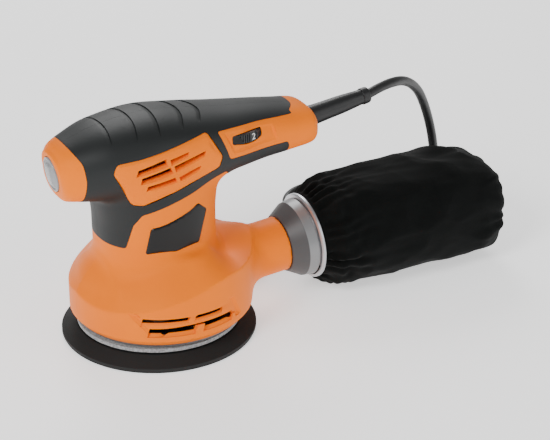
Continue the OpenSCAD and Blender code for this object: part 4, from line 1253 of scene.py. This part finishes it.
class SanderPaint(bpy.types.PropertyGroup):
    """Colours of the moulded parts."""
    housing_colour: FloatVectorProperty(
        name="Housing", description="Colour of the hard plastic", subtype="COLOR",
        default=(1.0, 0.2, 0.0), min=0, max=1)
    grip_colour: FloatVectorProperty(
        name="Grip", description="Colour of the soft grip", subtype="COLOR",
        default=(0.007, 0.0088, 0.009), min=0, max=1)


class SanderHousing(bpy.types.PropertyGroup):
    """How the housing is made."""
    step: FloatProperty(
        name="Grid step", description="Spacing of the surface's points, in millimetres",
        default=1.15, min=0.8, max=3)
    panel_rise: FloatProperty(
        name="Panel rise", description="How far the vent panel stands proud, in millimetres",
        default=1.0, min=0.2, max=2)


class SanderLead(bpy.types.PropertyGroup):
    """The mains lead."""
    diameter: FloatProperty(
        name="Diameter", description="Outer diameter of the lead", default=CORD_D * MM,
        min=0.003, max=0.01, unit="LENGTH")


class SanderBag(bpy.types.PropertyGroup):
    """The dust bag's cloth."""
    pleats: IntProperty(
        name="Pleats", description="Gathers round the mouth", default=26, min=8, max=60)
    folds: FloatProperty(
        name="Folds", description="Depth of the soft folds", default=1.0, min=0, max=2)


class SanderStage(bpy.types.PropertyGroup):
    """Camera, floor and light."""
    yaw: FloatProperty(name="Yaw", description="Turn round the object", default=math.radians(27.91),
                       subtype="ANGLE")
    tilt: FloatProperty(name="Tilt", description="How far the camera looks down",
                        default=math.radians(26.51), subtype="ANGLE")
    roll: FloatProperty(name="Roll", description="Turn about the line of sight",
                        default=math.radians(0.53), subtype="ANGLE")
    lens: FloatProperty(name="Lens", description="Focal length", default=144.9, min=20, max=400,
                        subtype="DISTANCE_CAMERA")
    place: FloatVectorProperty(name="Camera place", description="Where the camera stands",
                               default=(-0.5173, -1.1372, 0.6965), subtype="TRANSLATION")
    floor_shade: FloatProperty(name="Floor", description="How pale the floor is", default=0.9,
                               min=0, max=1)
    floor_glow: FloatProperty(name="Floor glow", description="Light given off by the floor sheet",
                              default=0.8, min=0)
    sky: FloatProperty(name="Sky", description="Strength of the even light", default=0.42, min=0)
    key_power: FloatProperty(name="Key", description="Power of the main lamp", default=21, min=0,
                             unit="POWER")


def step_operator(name, label, text, work):
    """An operator that runs one building step."""
    def execute(self, context):
        work(context.scene)
        return {"FINISHED"}
    return type(f"SANDER_OT_{name}", (bpy.types.Operator,),
                {"__doc__": text, "bl_idname": f"sander.{name}", "bl_label": label,
                 "execute": execute})


MADE = {}


def looks(scene):
    if not MADE:
        MADE.update(all_materials(scene.sander_paint))
    return MADE


# Each step's name, label, what it does, and the function that does it, in order
STEPS = (
    ("camera", "Camera", "Sets up the camera.", lambda scene: build_camera(scene.sander_stage)),
    ("lead", "Mains lead", "Lays the mains lead and its hank.",
     lambda scene: build_lead(scene.sander_lead, looks(scene))),
    ("housing", "Housing and grips", "Builds the housing halves and the soft grips.",
     lambda scene: build_housing(scene.sander_housing, looks(scene))),
    ("badges", "Badges", "Builds the plain badge plates.",
     lambda scene: build_badges(looks(scene))),
    ("boot", "Switch cover", "Builds the cover over the switch.",
     lambda scene: build_boot(looks(scene))),
    ("dial", "Speed dial", "Builds the ribbed dial and its digits.",
     lambda scene: build_dial(looks(scene))),
    ("screws", "Screws", "Puts screws in their wells.", lambda scene: build_screws(looks(scene))),
    ("relief", "Bend protector", "Builds the bend protector.",
     lambda scene: build_relief(looks(scene))),
    ("bag", "Dust bag", "Builds the dust bag's cloth.",
     lambda scene: build_bag(scene.sander_bag, looks(scene))),
    ("nodes", "CAD pieces", "Gives the kept CAD pieces their materials.",
     lambda scene: finish_nodes(looks(scene))),
    ("stage", "Stage", "Sets up the floor and the light.",
     lambda scene: build_stage(scene.sander_stage)),
)
OPERATORS = [step_operator(*step) for step in STEPS]


class SANDER_PT_panel(bpy.types.Panel):
    """Lists the building steps."""
    bl_label = "Orbital sander"
    bl_idname = "SANDER_PT_panel"
    bl_space_type = "VIEW_3D"
    bl_region_type = "UI"
    bl_category = "Sander"

    def draw(self, context):
        for operator in OPERATORS:
            self.layout.operator(operator.bl_idname)


SETTINGS = {"sander_paint": SanderPaint, "sander_housing": SanderHousing,
            "sander_lead": SanderLead, "sander_bag": SanderBag, "sander_stage": SanderStage}


def register():
    for cls in (*SETTINGS.values(), *OPERATORS, SANDER_PT_panel):
        bpy.utils.register_class(cls)
    for name, cls in SETTINGS.items():
        setattr(bpy.types.Scene, name, PointerProperty(type=cls))


def unregister():
    for name in SETTINGS:
        delattr(bpy.types.Scene, name)
    for cls in (SANDER_PT_panel, *reversed(OPERATORS), *reversed(list(SETTINGS.values()))):
        bpy.utils.unregister_class(cls)


def main():
    register()
    for operator in OPERATORS:
        getattr(bpy.ops.sander, operator.bl_idname.split(".")[1])()


if __name__ == "__main__":
    main()
